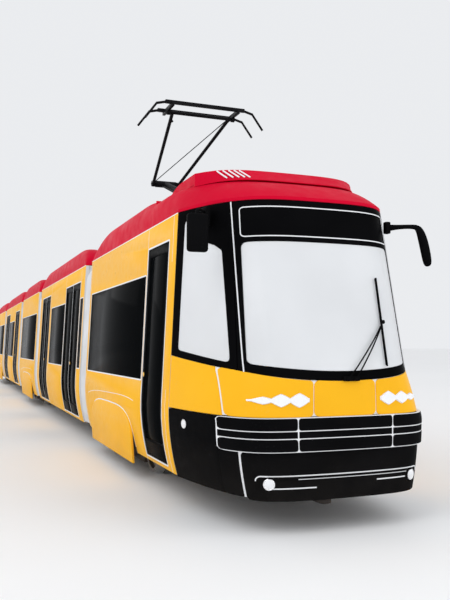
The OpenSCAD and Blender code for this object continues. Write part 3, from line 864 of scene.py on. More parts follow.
@dataclass(frozen=True)
class BodyLine:
    """The tram's outer line: half width by height, and the bowed nose."""

    half_width: float = 1.175
    tuck: float = 0.092
    lean: float = 0.048
    belt: float = 0.95
    tip: float = 15.05
    cab: float = 13.68
    rake: float = 0.258

    def bow(self, r: float, z: float) -> float:
        """Returns how far the nose has run back at a share of the half width."""
        return 0.08 * r * r + 0.92 * abs(r) ** (4.5 + 3 * share((1.36 - z) / 0.45))

    def half(self, z: float) -> float:
        """Returns the half width at a height."""
        if z < self.belt:
            return self.half_width - self.tuck * ((self.belt - z) / 0.64) ** 2
        return self.half_width - self.lean * (z - self.belt)

    def nose_x(self, r: float, z: float, out: float = 0.0) -> float:
        """Returns X of the nose at a share r of the half width.

        Args:
            r: Share of the half width, negative on the right.
            z: Height.
            out: Distance outside the body line.

        Returns:
            The place along the tram.
        """
        front = self.tip - max(0.0, z - 1.34) * self.rake + out
        return front - (front - self.cab) * self.bow(r, z)

    def nose(self, r: float, z: float, out: float = 0.0) -> Vector:
        """Returns a point of the nose."""
        return Vector((self.nose_x(r, z, out), r * (self.half(z) + out), z))

    def nose_normal(self, r: float, z: float) -> Vector:
        """Returns the outward direction of the nose at a point."""
        e = 0.004
        across = self.nose(min(1, r + e), z) - self.nose(max(-1, r - e), z)
        up = self.nose(r, z + e) - self.nose(r, z - e)
        return across.cross(up).normalized()

    def over_nose(self, points: Iterable[Flat], out: float) -> list[tuple[Vector, Vector]]:
        """Returns points of the nose, given as share and height, each with its outward direction."""
        return [(self.nose(r, z, out), self.nose_normal(r, z)) for r, z in points]

    def flank(self, x: float, z: float, side: Side, out: float = 0.0) -> Vector:
        """Returns a point of a straight side."""
        return Vector((x, side.value * (self.half(z) + out), z))

    def frame_low(self, r: float) -> float:
        """Returns the lower line of the cab's black frame."""
        return 1.273 + 0.130 * r * r + 0.075 * r**6


LINE = BodyLine()


def ribbon(name: str, spine: Sequence[tuple[Vector, Vector]], width: float, thickness: float,
        closed: bool = False) -> Object:
    """Lays a narrow strip along a line on a surface.

    Args:
        name: The piece's name.
        spine: Points with the surface's outward direction at each.
        width: Width of the strip.
        thickness: How far it stands off the surface.
        closed: Whether it runs in a loop.

    Returns:
        The strip.
    """
    points = list(spine) + ([spine[0]] if closed else [])
    count = len(points) - 1

    def place(u: float, v: float) -> Vector:
        """Returns a point of the strip."""
        k = round(u * count)
        before = points[k - 1 if k else (count - 1 if closed else 0)][0]
        after = points[k + 1 if k < count else (1 if closed else count)][0]
        here, normal = points[k]
        along = (after - before).normalized()
        return here + normal.cross(along).normalized() * (v - 0.5) * width

    obj = Bench.sheet(name, count, 1, place)
    if closed:
        Bench.edit(obj, lambda: bpy.ops.mesh.remove_doubles(threshold=1e-6))
    Bench.thicken(obj, thickness, 1.0)
    return Bench.soften(obj, 0.0, angle=50)


def flank_loop(x0: float, x1: float, z0: float, z1: float, radius: float, side: Side,
        out: float = 0.0) -> list[tuple[Vector, Vector]]:
    """Gives a rounded rectangle on a straight side, with its outward directions.

    Args:
        x0: Its rear edge.
        x1: Its front edge.
        z0: Its lower edge.
        z1: Its upper edge.
        radius: Radius of its corners.
        side: Which side of the tram.
        out: Distance outside the body line.

    Returns:
        Points and directions in order round the loop.
    """
    rows = 14
    shares = [k / rows for k in range(rows + 1)]
    edge = [(x0, mix(z0, z1, t)) for t in shares] + [(x1, mix(z1, z0, t)) for t in shares]
    if side is Side.LEFT:
        edge.reverse()
    loop = []
    for x, z in rounded(edge, radius, 4):
        slope = (LINE.half(z + 0.01) - LINE.half(z - 0.01)) / 0.02
        loop.append((LINE.flank(x, z, side, out), Vector((0, side.value, -slope)).normalized()))
    return loop


# ---------------------------------------------------------------- sub-assemblies


@dataclass
class Assembly:
    """A sub-assembly: it builds pieces and puts each on its body."""

    frame: dict
    shop: PaintShop
    body: Body = Body.FRONT
    facing: int = 1

    def turned(self, obj: Object) -> Object:
        """Turns a piece to the rear half where the sub-assembly lies there."""
        return obj if self.facing > 0 else Bench.flip(obj, 0)

    def piece(self, name: str, parts: Iterable[Object], paint: Paint) -> Object:
        """Joins parts into one painted piece at the sub-assembly's own end.

        Args:
            name: The piece's name.
            parts: What to join.
            paint: Its finish.

        Returns:
            The piece.
        """
        return self.shop.dress(self.turned(Bench.join(name, parts)), paint)

    def set(self, obj: Object, slot: str, *nodes: str, body: str | None = None) -> Object:
        """Makes a finished piece ride on a body.

        Args:
            obj: The piece.
            slot: The material slot it is finished from; not used.
            *nodes: CAD nodes that it stands for.
            body: The body's name, where it isn't the sub-assembly's own.

        Returns:
            The piece.
        """
        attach(obj, body or self.body.value)
        if nodes:
            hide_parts(*nodes)
        LOG.info("%s: %d faces on %s", obj.name, len(obj.data.polygons), body or self.body.value)
        return obj

    def build(self) -> None:
        """Builds every piece."""
        raise NotImplementedError


@dataclass
class Nose(Assembly):
    """The cab shell at one end: band, black frame, glass, display, bumper and valance."""

    thickness: float = 0.045
    seams: Flat = (0.256, 0.826)
    gap: float = 0.008
    bumper_end: float = 0.85
    bumper_joint: float = 0.378
    valance_end: float = 0.765
    prefix: str = "cab"
    cut_run: Flat = (13.5, 15.6)
    side_run: Flat = (0.6, 1.5)

    def trim(self, part: Object, outline: Sequence[Flat], keep: bool = False) -> Object:
        """Cuts an outline through a panel, looking along the tram.

        Args:
            part: The panel.
            outline: The (y, z) outline.
            keep: True keeps what lies in the outline.

        Returns:
            The panel.
        """
        return Bench.cut(part, Bench.stencil(outline, "X", *self.cut_run), keep)

    def trim_side(self, part: Object, side: float, margin: float = 0.0, keep: bool = False) -> Object:
        """Cuts a side window's outline through a panel.

        Args:
            part: The panel.
            side: 1 left, -1 right.
            margin: How far inside the opening the cut runs.
            keep: True keeps what lies in the outline.

        Returns:
            The panel.
        """
        near, far = self.side_run
        return Bench.cut(part, Bench.stencil(self.side_outline(margin), "Y", side * near, side * far), keep)

    @staticmethod
    def spread(w: float) -> float:
        """Maps an even share to one that is denser near the corners."""
        return math.copysign(1 - (1 - min(1.0, abs(w))) ** 1.7, w)

    @staticmethod
    def unspread(r: float) -> float:
        """Undoes spread."""
        return math.copysign(1 - (1 - min(1.0, abs(r))) ** (1 / 1.7), r)

    def patch(self, name: str, r0: float, r1: float, low: Callable[[float], float], top: Callable[[float], float],
            out: float = 0.0, thick: float | None = None, across: int = 24, up: int = 8,
            corner: float = 0.0) -> Object:
        """Makes a panel of the nose.

        Args:
            name: The panel's name.
            r0: Its right edge as a share of the half width.
            r1: Its left edge.
            low: Its lower line by share.
            top: Its upper line by share.
            out: How far its face stands proud.
            thick: Its thickness.
            across: Cells across.
            up: Cells up.
            corner: Radius of its corners.

        Returns:
            The panel.
        """
        w0, w1 = self.unspread(r0), self.unspread(r1)

        def place(u: float, v: float) -> Vector:
            """Returns a point of the panel, drawn in at its corners."""
            r = self.spread(mix(w0, w1, u))
            z0, z1 = low(r), top(r)
            if corner:
                v = 0.5 - 0.5 * math.cos(math.pi * v)
                near = min(v, 1 - v) * (z1 - z0)
                if near < corner:
                    cut = corner * (1 - math.sqrt(1 - (1 - near / corner) ** 2)) / LINE.half(z0)
                    r = mix(r0 + cut, r1 - cut, (r - r0) / (r1 - r0))
            return LINE.nose(r, mix(z0, z1, v), out)

        return Bench.thicken(Bench.sheet(name, across, up, place), thick or self.thickness)

    def outline(self, margin: float = 0.0) -> list[Flat]:
        """Gives the windscreen's outline, looking along the tram.

        Args:
            margin: How far inside the opening it runs.

        Returns:
            Its (y, z) points.
        """
        low = []
        for k in range(17):
            r = mix(-GLASS_SHARE, GLASS_SHARE, k / 16)
            z = 1.350 + 0.130 * r * r + margin
            low.append((r * LINE.half(z) - math.copysign(margin, r) * (abs(r) > 0.68), z))
        half = GLASS_SHARE * LINE.half(2.5) - margin
        return rounded([*low, (half, 2.50 - margin), (-half, 2.50 - margin)], 0.06)

    @staticmethod
    def side_outline(margin: float = 0.0) -> list[Flat]:
        """Gives a cab side window's outline, looking across the tram.

        Args:
            margin: How far inside the opening it runs.

        Returns:
            Its (x, z) points.
        """
        corners = [(13.80 + margin, 1.525 + margin), (14.585 - margin, 1.418 + margin), (14.355 - margin, 2.44),
            (14.26 - margin, 2.50 - margin), (14.12, 2.545 - margin), (13.98, 2.74 - margin),
            (13.80 + margin, 2.80 - margin)]
        return rounded(corners, 0.045)

    @staticmethod
    def display_outline(margin: float = 0.0) -> list[Flat]:
        """Gives the destination display's outline, looking along the tram."""
        low, top = (GLASS_SHARE * LINE.half(z) - margin for z in (DISPLAY_LOW, DISPLAY_TOP))
        z0, z1 = DISPLAY_LOW + margin, DISPLAY_TOP - margin
        return rounded([(-low, z0), (low, z0), (top, z1), (-top, z1)], 0.035)

    def black_frame(self) -> Object:
        """Makes the black frame round the glass, split at its corner seams."""
        parts = []
        for r0, r1, across in ((-1.0, -0.7375, 26), (-0.7335, 0.7335, 56), (0.7375, 1.0, 26)):
            part = self.patch("frame_part", r0, r1, LINE.frame_low, lambda r: FRAME_TOP, across=across, up=22)
            if abs(r0 + r1) < 0.1:
                self.trim(part, self.outline())
                self.trim(part, self.display_outline())
            else:
                self.trim_side(part, math.copysign(1, r0 + r1))
            parts.append(Bench.soften(part, 0.003))
        return self.piece(f"{self.prefix}_black_frame", parts, Paint.BLACK)

    def glass(self) -> Object:
        """Makes the windscreen and the two side panes."""
        screen = self.patch("windscreen", -0.72, 0.72, lambda r: 1.25, lambda r: 2.6, -0.005, 0.014, 48, 14)
        self.trim(screen, self.outline(0.004), keep=True)
        parts = [Bench.soften(screen, 0.0)]
        for side in (-1, 1):
            r0, r1 = sorted((side * 0.745, side * 0.995))
            pane = self.patch("side_pane", r0, r1, lambda r: 1.35, lambda r: 2.86, -0.005, 0.012, 26, 14)
            self.trim_side(pane, side, 0.004, keep=True)
            parts.append(Bench.soften(pane, 0.0))
        return self.piece(f"{self.prefix}_glass", parts, Paint.CLEAR)

    def seals(self) -> Object:
        """Makes the pale corner seams, the display outline and the pale backings behind the band and valance."""
        parts = []
        for s in (-1, 1):
            rows = [(s * mix(0.706, 0.7365, k / 14), mix(LINE.frame_low(0.706), FRAME_TOP, k / 14)) for k in range(15)]
            parts.append(ribbon("seam", LINE.over_nose(rows, 0.0005), 0.012, 0.005))
        parts.append(ribbon("outline", self.on_nose(self.display_outline(0.002), 0.0), 0.010, 0.003, closed=True))
        band = (lambda r: 0.976), (lambda r: LINE.frame_low(r) - 0.004)
        valance = (lambda r: 0.302), (lambda r: 0.682)
        for low, top in (band, valance):
            backing = self.patch("backing", -0.995, 0.995, low, top, -0.008, 0.012, 120, 4)
            parts.append(Bench.soften(backing, 0.0))
        return self.piece(f"{self.prefix}_seals", parts, Paint.TRIM)

    @staticmethod
    def on_nose(outline: Sequence[Flat], out: float) -> list[tuple[Vector, Vector]]:
        """Lays a (y, z) outline on the nose.

        Args:
            outline: The outline.
            out: Distance outside the body line.

        Returns:
            Points and outward directions round it.
        """
        dense = []
        for (y0, z0), (y1, z1) in zip(outline, [*outline[1:], outline[0]]):
            n = max(1, round(math.hypot(y1 - y0, z1 - z0) / 0.06))
            dense += [(mix(y0, y1, k / n), mix(z0, z1, k / n)) for k in range(n)]
        return LINE.over_nose(((y / LINE.half(z), z) for y, z in dense), out)

    def band(self) -> Object:
        """Makes the painted band in its five panels."""
        low, top = (lambda r: 0.972), (lambda r: LINE.frame_low(r) - 0.004)
        parts = [self.patch("band_middle", -self.seams[0], self.seams[0], low, top, across=16, up=14, corner=0.045)]
        for s in (-1, 1):
            for a, b, n in ((self.seams[0] + self.gap, self.seams[1], 18), (self.seams[1] + self.gap, 1.0, 20)):
                r0, r1 = sorted((s * a, s * b))
                corner = 0.035 if b < 1 else 0.0
                parts.append(self.patch("band_part", r0, r1, low, top, across=n, up=14, corner=corner))
        for part in parts:
            Bench.soften(part, 0.006, 2)
        return self.piece(f"{self.prefix}_band", parts, Paint.YELLOW)

    def bumper(self) -> Object:
        """Makes the upper bumper in three ribbed parts."""
        parts = []
        ribs = ((0.691, 0.792, 0.030), (0.799, 0.857, 0.028), (0.864, 0.965, 0.030))
        joint, end, gap = self.bumper_joint, self.bumper_end, self.gap
        for a, b, n in ((-joint, joint, 20), (joint + gap, end, 18), (-end, -joint - gap, 18)):
            for k, (z0, z1, out) in enumerate(ribs):
                corner = 0.022 if k != 1 else 0.0
                rib = self.patch("rib", a, b, lambda r, z=z0: z, lambda r, z=z1: z, out, 0.05, n, 8, corner)
                parts.append(Bench.soften(rib, 0.006, 2))
        return self.piece(f"{self.prefix}_bumper", parts, Paint.BUMPER)

    def bumper_lines(self) -> Object:
        """Makes the pale lines in the bumper's grooves and joints."""
        end = self.bumper_end + 0.004
        backing = self.patch("bumper_backing", -end, end, lambda r: 0.685, lambda r: 0.971, 0.0255, 0.03, 90, 10, 0.028)
        parts = [Bench.soften(backing, 0.0)]
        return self.piece(f"{self.prefix}_bumper_lines", parts, Paint.TRIM)

    def valance(self) -> Object:
        """Makes the lower valance, its slot lip and the two side parts."""
        end = self.valance_end
        parts = [self.patch("valance_middle", -end, end, lambda r: 0.28, lambda r: VALANCE_TOP, across=50, up=12,
            corner=0.03)]
        for s in (-1, 1):
            for a, b, top in ((end + 0.012, 0.858, VALANCE_TOP), (0.858, 1.0, 0.962)):
                r0, r1 = sorted((s * a, s * b))
                parts.append(self.patch("valance_side", r0, r1, lambda r: 0.30, lambda r, z=top: z, across=14, up=10))
        for part in parts:
            Bench.soften(part, 0.006, 2)
        lip = self.patch("lip", -0.62, 0.62, lambda r: 0.465, lambda r: 0.485, 0.012, 0.03, 32, 1)
        parts.append(Bench.soften(lip, 0.004))
        return self.piece(f"{self.prefix}_valance", parts, Paint.BUMPER)

    def valance_lines(self) -> Object:
        """Makes the pale lines above and below the valance's slot."""
        parts = []
        for z, a, b in ((0.490, -0.665, 0.665), (0.463, -0.40, 0.56), (0.388, -0.60, -0.26), (0.418, 0.27, 0.55)):
            rows = LINE.over_nose(((mix(a, b, k / 36), z) for k in range(37)), 0.001)
            parts.append(ribbon("slot_line", rows, 0.010, 0.004))
        for side in (-1, 1):
            turn = [(side * (0.665 + 0.036 * math.sin(a)), 0.449 + 0.041 * math.cos(a))
                for a in [math.pi / 2 * k / 6 for k in range(7)]]
            parts.append(ribbon("slot_turn", LINE.over_nose(turn, 0.001), 0.010, 0.004))
        return self.piece(f"{self.prefix}_valance_lines", parts, Paint.TRIM)

    def display(self) -> Object:
        """Makes the blank destination display, set back in its opening in the frame."""
        pane = self.patch("display", -0.72, 0.72, lambda r: 2.50, lambda r: 2.87, -0.005, 0.03, 40, 6)
        self.trim(pane, self.display_outline(0.004), keep=True)
        return self.piece(f"{self.prefix}_display", [Bench.soften(pane, 0.002)], Paint.BLACK)

    def build(self) -> None:
        """Builds the cab shell."""
        front = self.facing > 0
        self.set(self.band(), "body_yellow", "cab_front_panel" if front else "rear_end_panel")
        self.set(self.black_frame(), "frame_black", *(("windscreen_frame",) if front else ()))
        self.set(self.glass(), "clear_glass", "cab_glass" if front else "rear_glass")
        self.set(self.display(), "frame_black", *(("destination_display",) if front else ()))
        self.set(self.bumper(), "bumper_black", "front_bumper" if front else "rear_bumper")
        self.set(self.valance(), "bumper_black", *(("front_valance",) if front else ()))
        for piece in (self.seals(), self.bumper_lines(), self.valance_lines()):
            self.set(piece, "bellows_grey")


@dataclass
class Lamps(Assembly):
    """Lamp clusters in the band, round lamps in the valance and side markers."""

    prefix: str = "head"
    lens: Paint = Paint.LENS
    lobes: tuple[Point, ...] = ((0.372, 0.082, 0.056), (0.505, 0.080, 0.050), (0.622, 0.075, 0.027))
    round_lamps: tuple[tuple[float, ...], ...] = ((0.69, 0.425, 0.042, 0.006, 0.014),
        (1.125, 0.843, 0.035, 0.004, 0.010))
    level: float = 1.113

    def half_height(self, r: float) -> float:
        """Returns the cluster's half height at a share of the half width."""
        best = mix(0.009, 0.002, share((r - 0.60) / 0.11))
        for mid, width, height in self.lobes:
            t = abs(r - mid) / width
            if t < 1:
                best = max(best, height * (1 - t) * (1 + 0.35 * t))
        return best

    def cluster(self, side: int, out: float, thick: float, grow: float) -> Object:
        """Makes one layer of a lamp cluster.

        Args:
            side: 1 left, -1 right.
            out: How far its face stands proud.
            thick: Its thickness.
            grow: How much larger it is than the lens.

        Returns:
            The layer.
        """

        def place(u: float, v: float) -> Vector:
            """Returns a point of the layer."""
            r = mix(0.300 - grow, 0.71 + grow, u if side > 0 else 1 - u)
            reach = self.half_height(min(0.71, max(0.303, r))) + grow
            return LINE.nose(side * r, self.level + mix(-reach, reach, v), out)

        return Bench.soften(Bench.thicken(Bench.sheet("cluster", 90, 6, place), thick), 0.0012, 1)

    def round_lamp(self, y: float, z: float, radius: float, depth: float, dome: float) -> list[Object]:
        """Makes a round lamp with its bezel on the nose.

        Args:
            y: Its place across.
            z: Its height.
            radius: Radius of its lens.
            depth: How far its bezel stands out.
            dome: How far its lens bulges.

        Returns:
            The bezel and the lens.
        """
        r = y / LINE.half(z)
        here, normal = LINE.nose(r, z), LINE.nose_normal(r, z)
        turn = normal.to_track_quat("Z", "Y").to_matrix().to_4x4()
        spot = Matrix.Translation(here) @ turn
        Bench.clear()
        bpy.ops.mesh.primitive_torus_add(major_radius=radius, minor_radius=0.008, major_segments=36, minor_segments=10)
        bezel = bpy.context.object
        bezel.matrix_world = spot @ Matrix.Translation((0, 0, depth))
        Bench.soften(Bench.settle(bezel, "bezel"), 0.0)
        Bench.clear()
        bpy.ops.mesh.primitive_uv_sphere_add(segments=36, ring_count=18, radius=radius)
        lens = bpy.context.object
        lens.matrix_world = spot @ Matrix.Translation((0, 0, depth)) @ Matrix.Diagonal((1, 1, dome / radius, 1))
        Bench.soften(Bench.settle(lens, "lens"), 0.0)
        return [bezel, lens]

    def build(self) -> None:
        """Builds the lamps of one end."""
        lenses, bowls = [], []
        for side in (-1, 1):
            lenses.append(self.cluster(side, 0.012, 0.008, 0.0))
            bowls.append(self.cluster(side, 0.0035, 0.003, 0.006))
            for y, *sizes in self.round_lamps:
                bezel, lens = self.round_lamp(side * y, *sizes)
                lenses.append(lens)
                bowls.append(bezel)
        slot, node = ("lamp_clear", "headlamps") if self.facing > 0 else ("lamp_red", "tail_lamps")
        self.set(self.piece(f"{self.prefix}_lamp_lenses", lenses, self.lens), slot, node)
        self.set(self.piece(f"{self.prefix}_lamp_bezels", bowls, Paint.REFLECTOR), slot)


@dataclass
class Mirrors(Assembly):
    """The two outside mirrors on their arms."""

    right_head: tuple[Point, Point] = ((14.520, -1.275, 2.385), (14.600, -1.085, 2.725))
    left_head: tuple[tuple[Point, float], ...] = (((14.560, 1.085, 2.735), 0.026), ((14.562, 1.120, 2.725), 0.034),
        ((14.562, 1.150, 2.675), 0.042), ((14.562, 1.175, 2.60), 0.047), ((14.562, 1.200, 2.50), 0.047),
        ((14.562, 1.218, 2.41), 0.046), ((14.562, 1.226, 2.365), 0.036), ((14.562, 1.230, 2.350), 0.016))
    left_arm: tuple[tuple[Point, float], ...] = (((14.345, 0.888, 2.745), 0.040), ((14.38, 0.925, 2.748), 0.030),
        ((14.44, 0.98, 2.748), 0.023), ((14.51, 1.04, 2.745), 0.021), ((14.555, 1.085, 2.738), 0.024),
        ((14.562, 1.115, 2.728), 0.030))
    right_arm: tuple[Point, ...] = ((14.558, -1.185, 2.700), (14.54, -1.180, 2.765), (14.45, -1.12, 2.785),
        (14.26, -1.00, 2.785))

    @staticmethod
    def horn(rings: Sequence[tuple[Point, float]]) -> Object:
        """Sweeps a round form of changing girth along points.

        Args:
            rings: Points of its centreline, each with the radius there.

        Returns:
            The closed form.
        """
        parts = len(rings) - 1

        def place(u: float, v: float) -> Vector:
            """Returns a point of the form's skin."""
            k = round(u * parts)
            before, after = Vector(rings[max(0, k - 1)][0]), Vector(rings[min(parts, k + 1)][0])
            turn = (after - before).to_track_quat("Z", "X")
            angle = 2 * math.pi * v
            return Vector(rings[k][0]) + turn @ Vector((math.cos(angle), math.sin(angle), 0)) * rings[k][1]

        obj = Bench.sheet("horn", parts, 20, place)
        Bench.edit(obj, lambda: bpy.ops.mesh.remove_doubles(threshold=1e-6),
            lambda: bpy.ops.mesh.fill_holes(sides=24),
            lambda: bpy.ops.mesh.select_all(action="SELECT"),
            lambda: bpy.ops.mesh.normals_make_consistent(inside=False))
        Bench.modify(obj, "SUBSURF", levels=1, render_levels=1)
        return Bench.soften(obj, 0.0, angle=60)

    def build(self) -> None:
        """Builds both mirrors with their brackets."""
        right = Bench.soften(Bench.box("right_head", *self.right_head, 0.030, 5), 0.0, angle=60)
        left = self.horn(self.left_head)
        arm = Bench.tube("right_arm", self.right_arm, 0.015)
        arm_left = self.horn(self.left_arm)
        plate = Bench.stencil(rounded([(14.165, 2.84), (14.395, 2.835), (14.375, 2.70), (14.335, 2.675)], 0.02), "Y",
            -1.035, -1.015)
        brackets = [
            Bench.box("bracket", (14.165, -1.018, 2.665), (14.29, -0.962, 2.85), 0.012, 3),
            Bench.soften(plate, 0.004),
            Bench.rod("boss", (14.24, -1.00, 2.785), (14.30, -1.045, 2.785), 0.026, 20, 0.004),
            Bench.box("bracket", (14.334, 0.860, 2.685), (14.396, 0.916, 2.805), 0.012, 3),
        ]
        shells = self.piece("cab_mirrors", [right, left, arm, arm_left, *brackets], Paint.BUMPER)
        self.set(shells, "fitting_black", "mirrors")
        glass = Bench.box("mirror_glass", (14.517, -1.258, 2.405), (14.521, -1.102, 2.705), 0.0015, 1)
        self.set(self.piece("cab_mirror_glass", [glass], Paint.MIRROR), "fitting_black")


@dataclass
class Wiper(Assembly):
    """The windscreen wiper: a twin arm from the frame and an upright blade."""

    feet: Flat = (0.015, 0.085)
    foot_z: float = 1.285
    joint: Flat = (0.452, 1.783)
    blade_y: Flat = (0.457, 0.430)

    @staticmethod
    def on(y: float, z: float, out: float) -> Point:
        """Returns a point over the windscreen."""
        return tuple(LINE.nose(y / LINE.half(z), z, out))

    def arm(self, foot: float) -> Object:
        """Makes one bowed rod of the arm from its foot to the blade's joint."""
        y, z = self.joint
        line = [self.on(mix(foot, y, t / 8), mix(self.foot_z, z, t / 8), 0.020 + 0.012 * math.sin(math.pi * t / 8))
            for t in range(9)]
        return Bench.tube("arm", line, 0.0065)

    def along_blade(self, top: float, foot: float, out: float) -> list[Point]:
        """Returns points down the blade, from its top to its foot."""
        return [self.on(mix(*self.blade_y, t / 10), mix(top, foot, t / 10), out) for t in range(11)]

    def build(self) -> None:
        """Builds the wiper on the glass."""
        arms = [self.arm(foot) for foot in self.feet]
        blade = Bench.tube("blade", self.along_blade(2.19, 1.392, 0.016), 0.008)
        outward = LINE.nose_normal(0.4, 1.8)
        rubber = ribbon("lip", [(Vector(p), outward) for p in self.along_blade(2.185, 1.397, 0.002)], 0.006, 0.012)
        yoke = Bench.rod("yoke", self.on(*self.joint, 0.010), self.on(*self.joint, 0.034), 0.018, 20, 0.003)
        pivots = [Bench.rod("pivot", self.on(y, self.foot_z, 0.0), self.on(y, self.foot_z, 0.030), 0.020, 24, 0.004)
            for y in self.feet]
        cover = Bench.box("cover", (15.052, -0.03, 1.266), (15.070, 0.13, 1.310), 0.007, 3)
        wiper = self.piece("cab_wiper", [*arms, blade, rubber, yoke, *pivots, cover], Paint.BUMPER)
        self.set(wiper, "fitting_black", "wiper")


def pad(name: str, low: Point, high: Point, crown: float) -> Object:
    """Makes a crowned cushion with pulled-in sides.

    Args:
        name: The cushion's name.
        low: Its lowest corner.
        high: Its highest corner.
        crown: How much its middle swells.

    Returns:
        The cushion.
    """
    obj = Bench.box(name, low, high, 0.0)
    Bench.edit(obj, lambda: bpy.ops.mesh.subdivide(number_cuts=7))
    mid = [(a + b) / 2 for a, b in zip(low, high)]
    half = [(b - a) / 2 for a, b in zip(low, high)]
    thin = half.index(min(half))
    for vertex in obj.data.vertices:
        t = [(vertex.co[k] - mid[k]) / half[k] for k in range(3)]
        flat = [abs(t[k]) for k in range(3) if k != thin]
        swell = (1 - flat[0] ** 2) * (1 - flat[1] ** 2)
        edge = max(flat) ** 8
        vertex.co[thin] = mid[thin] + t[thin] * (half[thin] - crown) * (1 - 0.45 * edge) + t[thin] * crown * swell
        for k in range(3):
            if k != thin:
                pull = (1 - abs(t[thin]) ** 2 * 0.10) * (1 - 0.02 * (1 - flat[0] ** 2) * (1 - flat[1] ** 2))
                vertex.co[k] = mid[k] + (vertex.co[k] - mid[k]) * pull
    Bench.modify(obj, "SUBSURF", levels=1, render_levels=1)
    return Bench.soften(obj, 0.0, angle=80)


@dataclass
class Seats(Assembly):
    """A section's passenger seats: moulded shells with padded cushions."""

    node: str = "front_seats"
    rows: tuple[tuple[float, int, int, float], ...] = ()
    driver: bool = False

    def seat(self, x: float, turn: int, side: int, base: float) -> tuple[list[Object], list[Object]]:
        """Makes one seat.

        Args:
            x: Its middle along the tram.
            turn: 1 if it faces forward.
            side: 1 on the left, -1 on the right.
            base: Height of what carries it.

        Returns:
            Its shell parts and its cushions.
        """
        y0 = 0.640 if side > 0 else -1.032
        y1 = y0 + 0.392
        back = x - turn * 0.21
        b0, b1 = sorted((back - turn * 0.028, back + turn * 0.004))
        f0, f1 = sorted((back + turn * 0.006, back + turn * 0.034))
        shell = [
            Bench.box("pan", (x - 0.205, y0, 0.782), (x + 0.205, y1, 0.812), 0.012, 3),
            Bench.box("back", (b0, y0, 0.80), (b1, y1, 1.435), 0.013, 3),
            Bench.box("foot", (x - 0.14, y0 + 0.12, base + 0.002), (x + 0.14, y0 + 0.27, 0.784), 0.006, 2),
            Bench.tube("grip", [(back, y0 + 0.04, 1.40), (back, y0 + 0.05, 1.437), (back, y1 - 0.05, 1.437),
                (back, y1 - 0.04, 1.40)], 0.0115),
        ]
        cushions = [
            pad("cushion", (x - 0.190, y0 + 0.012, 0.810), (x + 0.190, y1 - 0.012, 0.852), 0.010),
            pad("rest", (f0, y0 + 0.014, 0.87), (f1, y1 - 0.014, 1.40), 0.008),
        ]
        return shell, cushions

    def build(self) -> None:
        """Builds every seat of the section."""
        shells, cushions = [], []
        for row in self.rows:
            parts, pads = self.seat(*row)
            shells += parts
            cushions += pads
        if self.driver:
            shells += [Bench.box("pan", (13.63, -0.02, 0.822), (14.07, 0.44, 0.85), 0.016, 3),
                Bench.box("back", (13.585, 0.01, 0.90), (13.612, 0.41, 1.545), 0.012, 3),
                Bench.rod("pillar", (13.85, 0.21, 0.415), (13.85, 0.21, 0.825), 0.075, 28, 0.01)]
            cushions += [pad("cushion", (13.635, -0.01, 0.85), (14.065, 0.43, 0.918), 0.014),
                pad("rest", (13.610, 0.02, 0.93), (13.655, 0.40, 1.33), 0.012),
                pad("headrest", (13.610, 0.09, 1.36), (13.652, 0.33, 1.54), 0.012)]
        shell = self.piece(f"{self.node}_shells", shells, Paint.SHELL)
        soft = self.piece(f"{self.node}_cushions", cushions, Paint.MOQUETTE)
        self.set(shell, "seat_fabric", self.node)
        self.set(soft, "seat_fabric")


@dataclass
class Cab(Assembly):
    """Inside the cab: the desk with its screens and levers, and the wall behind the driver."""

    def build(self) -> None:
        """Builds the desk and the cab wall."""
        top = Bench.stencil(rounded([(14.06, 1.042), (14.498, 1.062), (14.498, 1.205), (14.40, 1.205), (14.36, 1.135),
            (14.06, 1.105)], 0.02), "Y", -0.66, 0.74)
        stand = Bench.box("stand", (14.252, -0.198, 0.414), (14.478, 0.318, 1.04), 0.01)
        parts = [Bench.soften(top, 0.006, 2, 40), stand]
        for y in (-0.34, 0.06, 0.46):
            parts.append(Bench.box("screen_hood", (14.375, y - 0.13, 1.14), (14.395, y + 0.13, 1.202), 0.005))
        x = 14.16
        for y in (0.55, -0.45):
            parts.append(Bench.rod("lever", (x, y, 1.10), (x + 0.02, y, 1.20), 0.009, 14))
            parts.append(Bench.rod("knob", (x + 0.015, y, 1.19), (x + 0.025, y, 1.235), 0.02, 20, 0.008))
        for k in range(10):
            y = -0.25 + 0.055 * k
            parts.append(Bench.rod("button", (14.20, y, 1.116), (14.20, y, 1.130), 0.011, 16, 0.003))
        self.set(self.piece("cab_desk", parts, Paint.DESK), "interior_grey", "driver_desk")
        wall = Bench.loose(Bench.from_node(self.frame, "cab_bulkhead", "bulkhead", 0.004))
        panes = [p for p in wall if p.dimensions.x < 0.02]
        solid = [p for p in wall if p not in panes]
        self.set(self.piece("cab_wall", solid, Paint.LINING), "interior_grey", "cab_bulkhead")
        self.set(self.piece("cab_wall_pane", panes, Paint.CLEAR), "clear_glass")


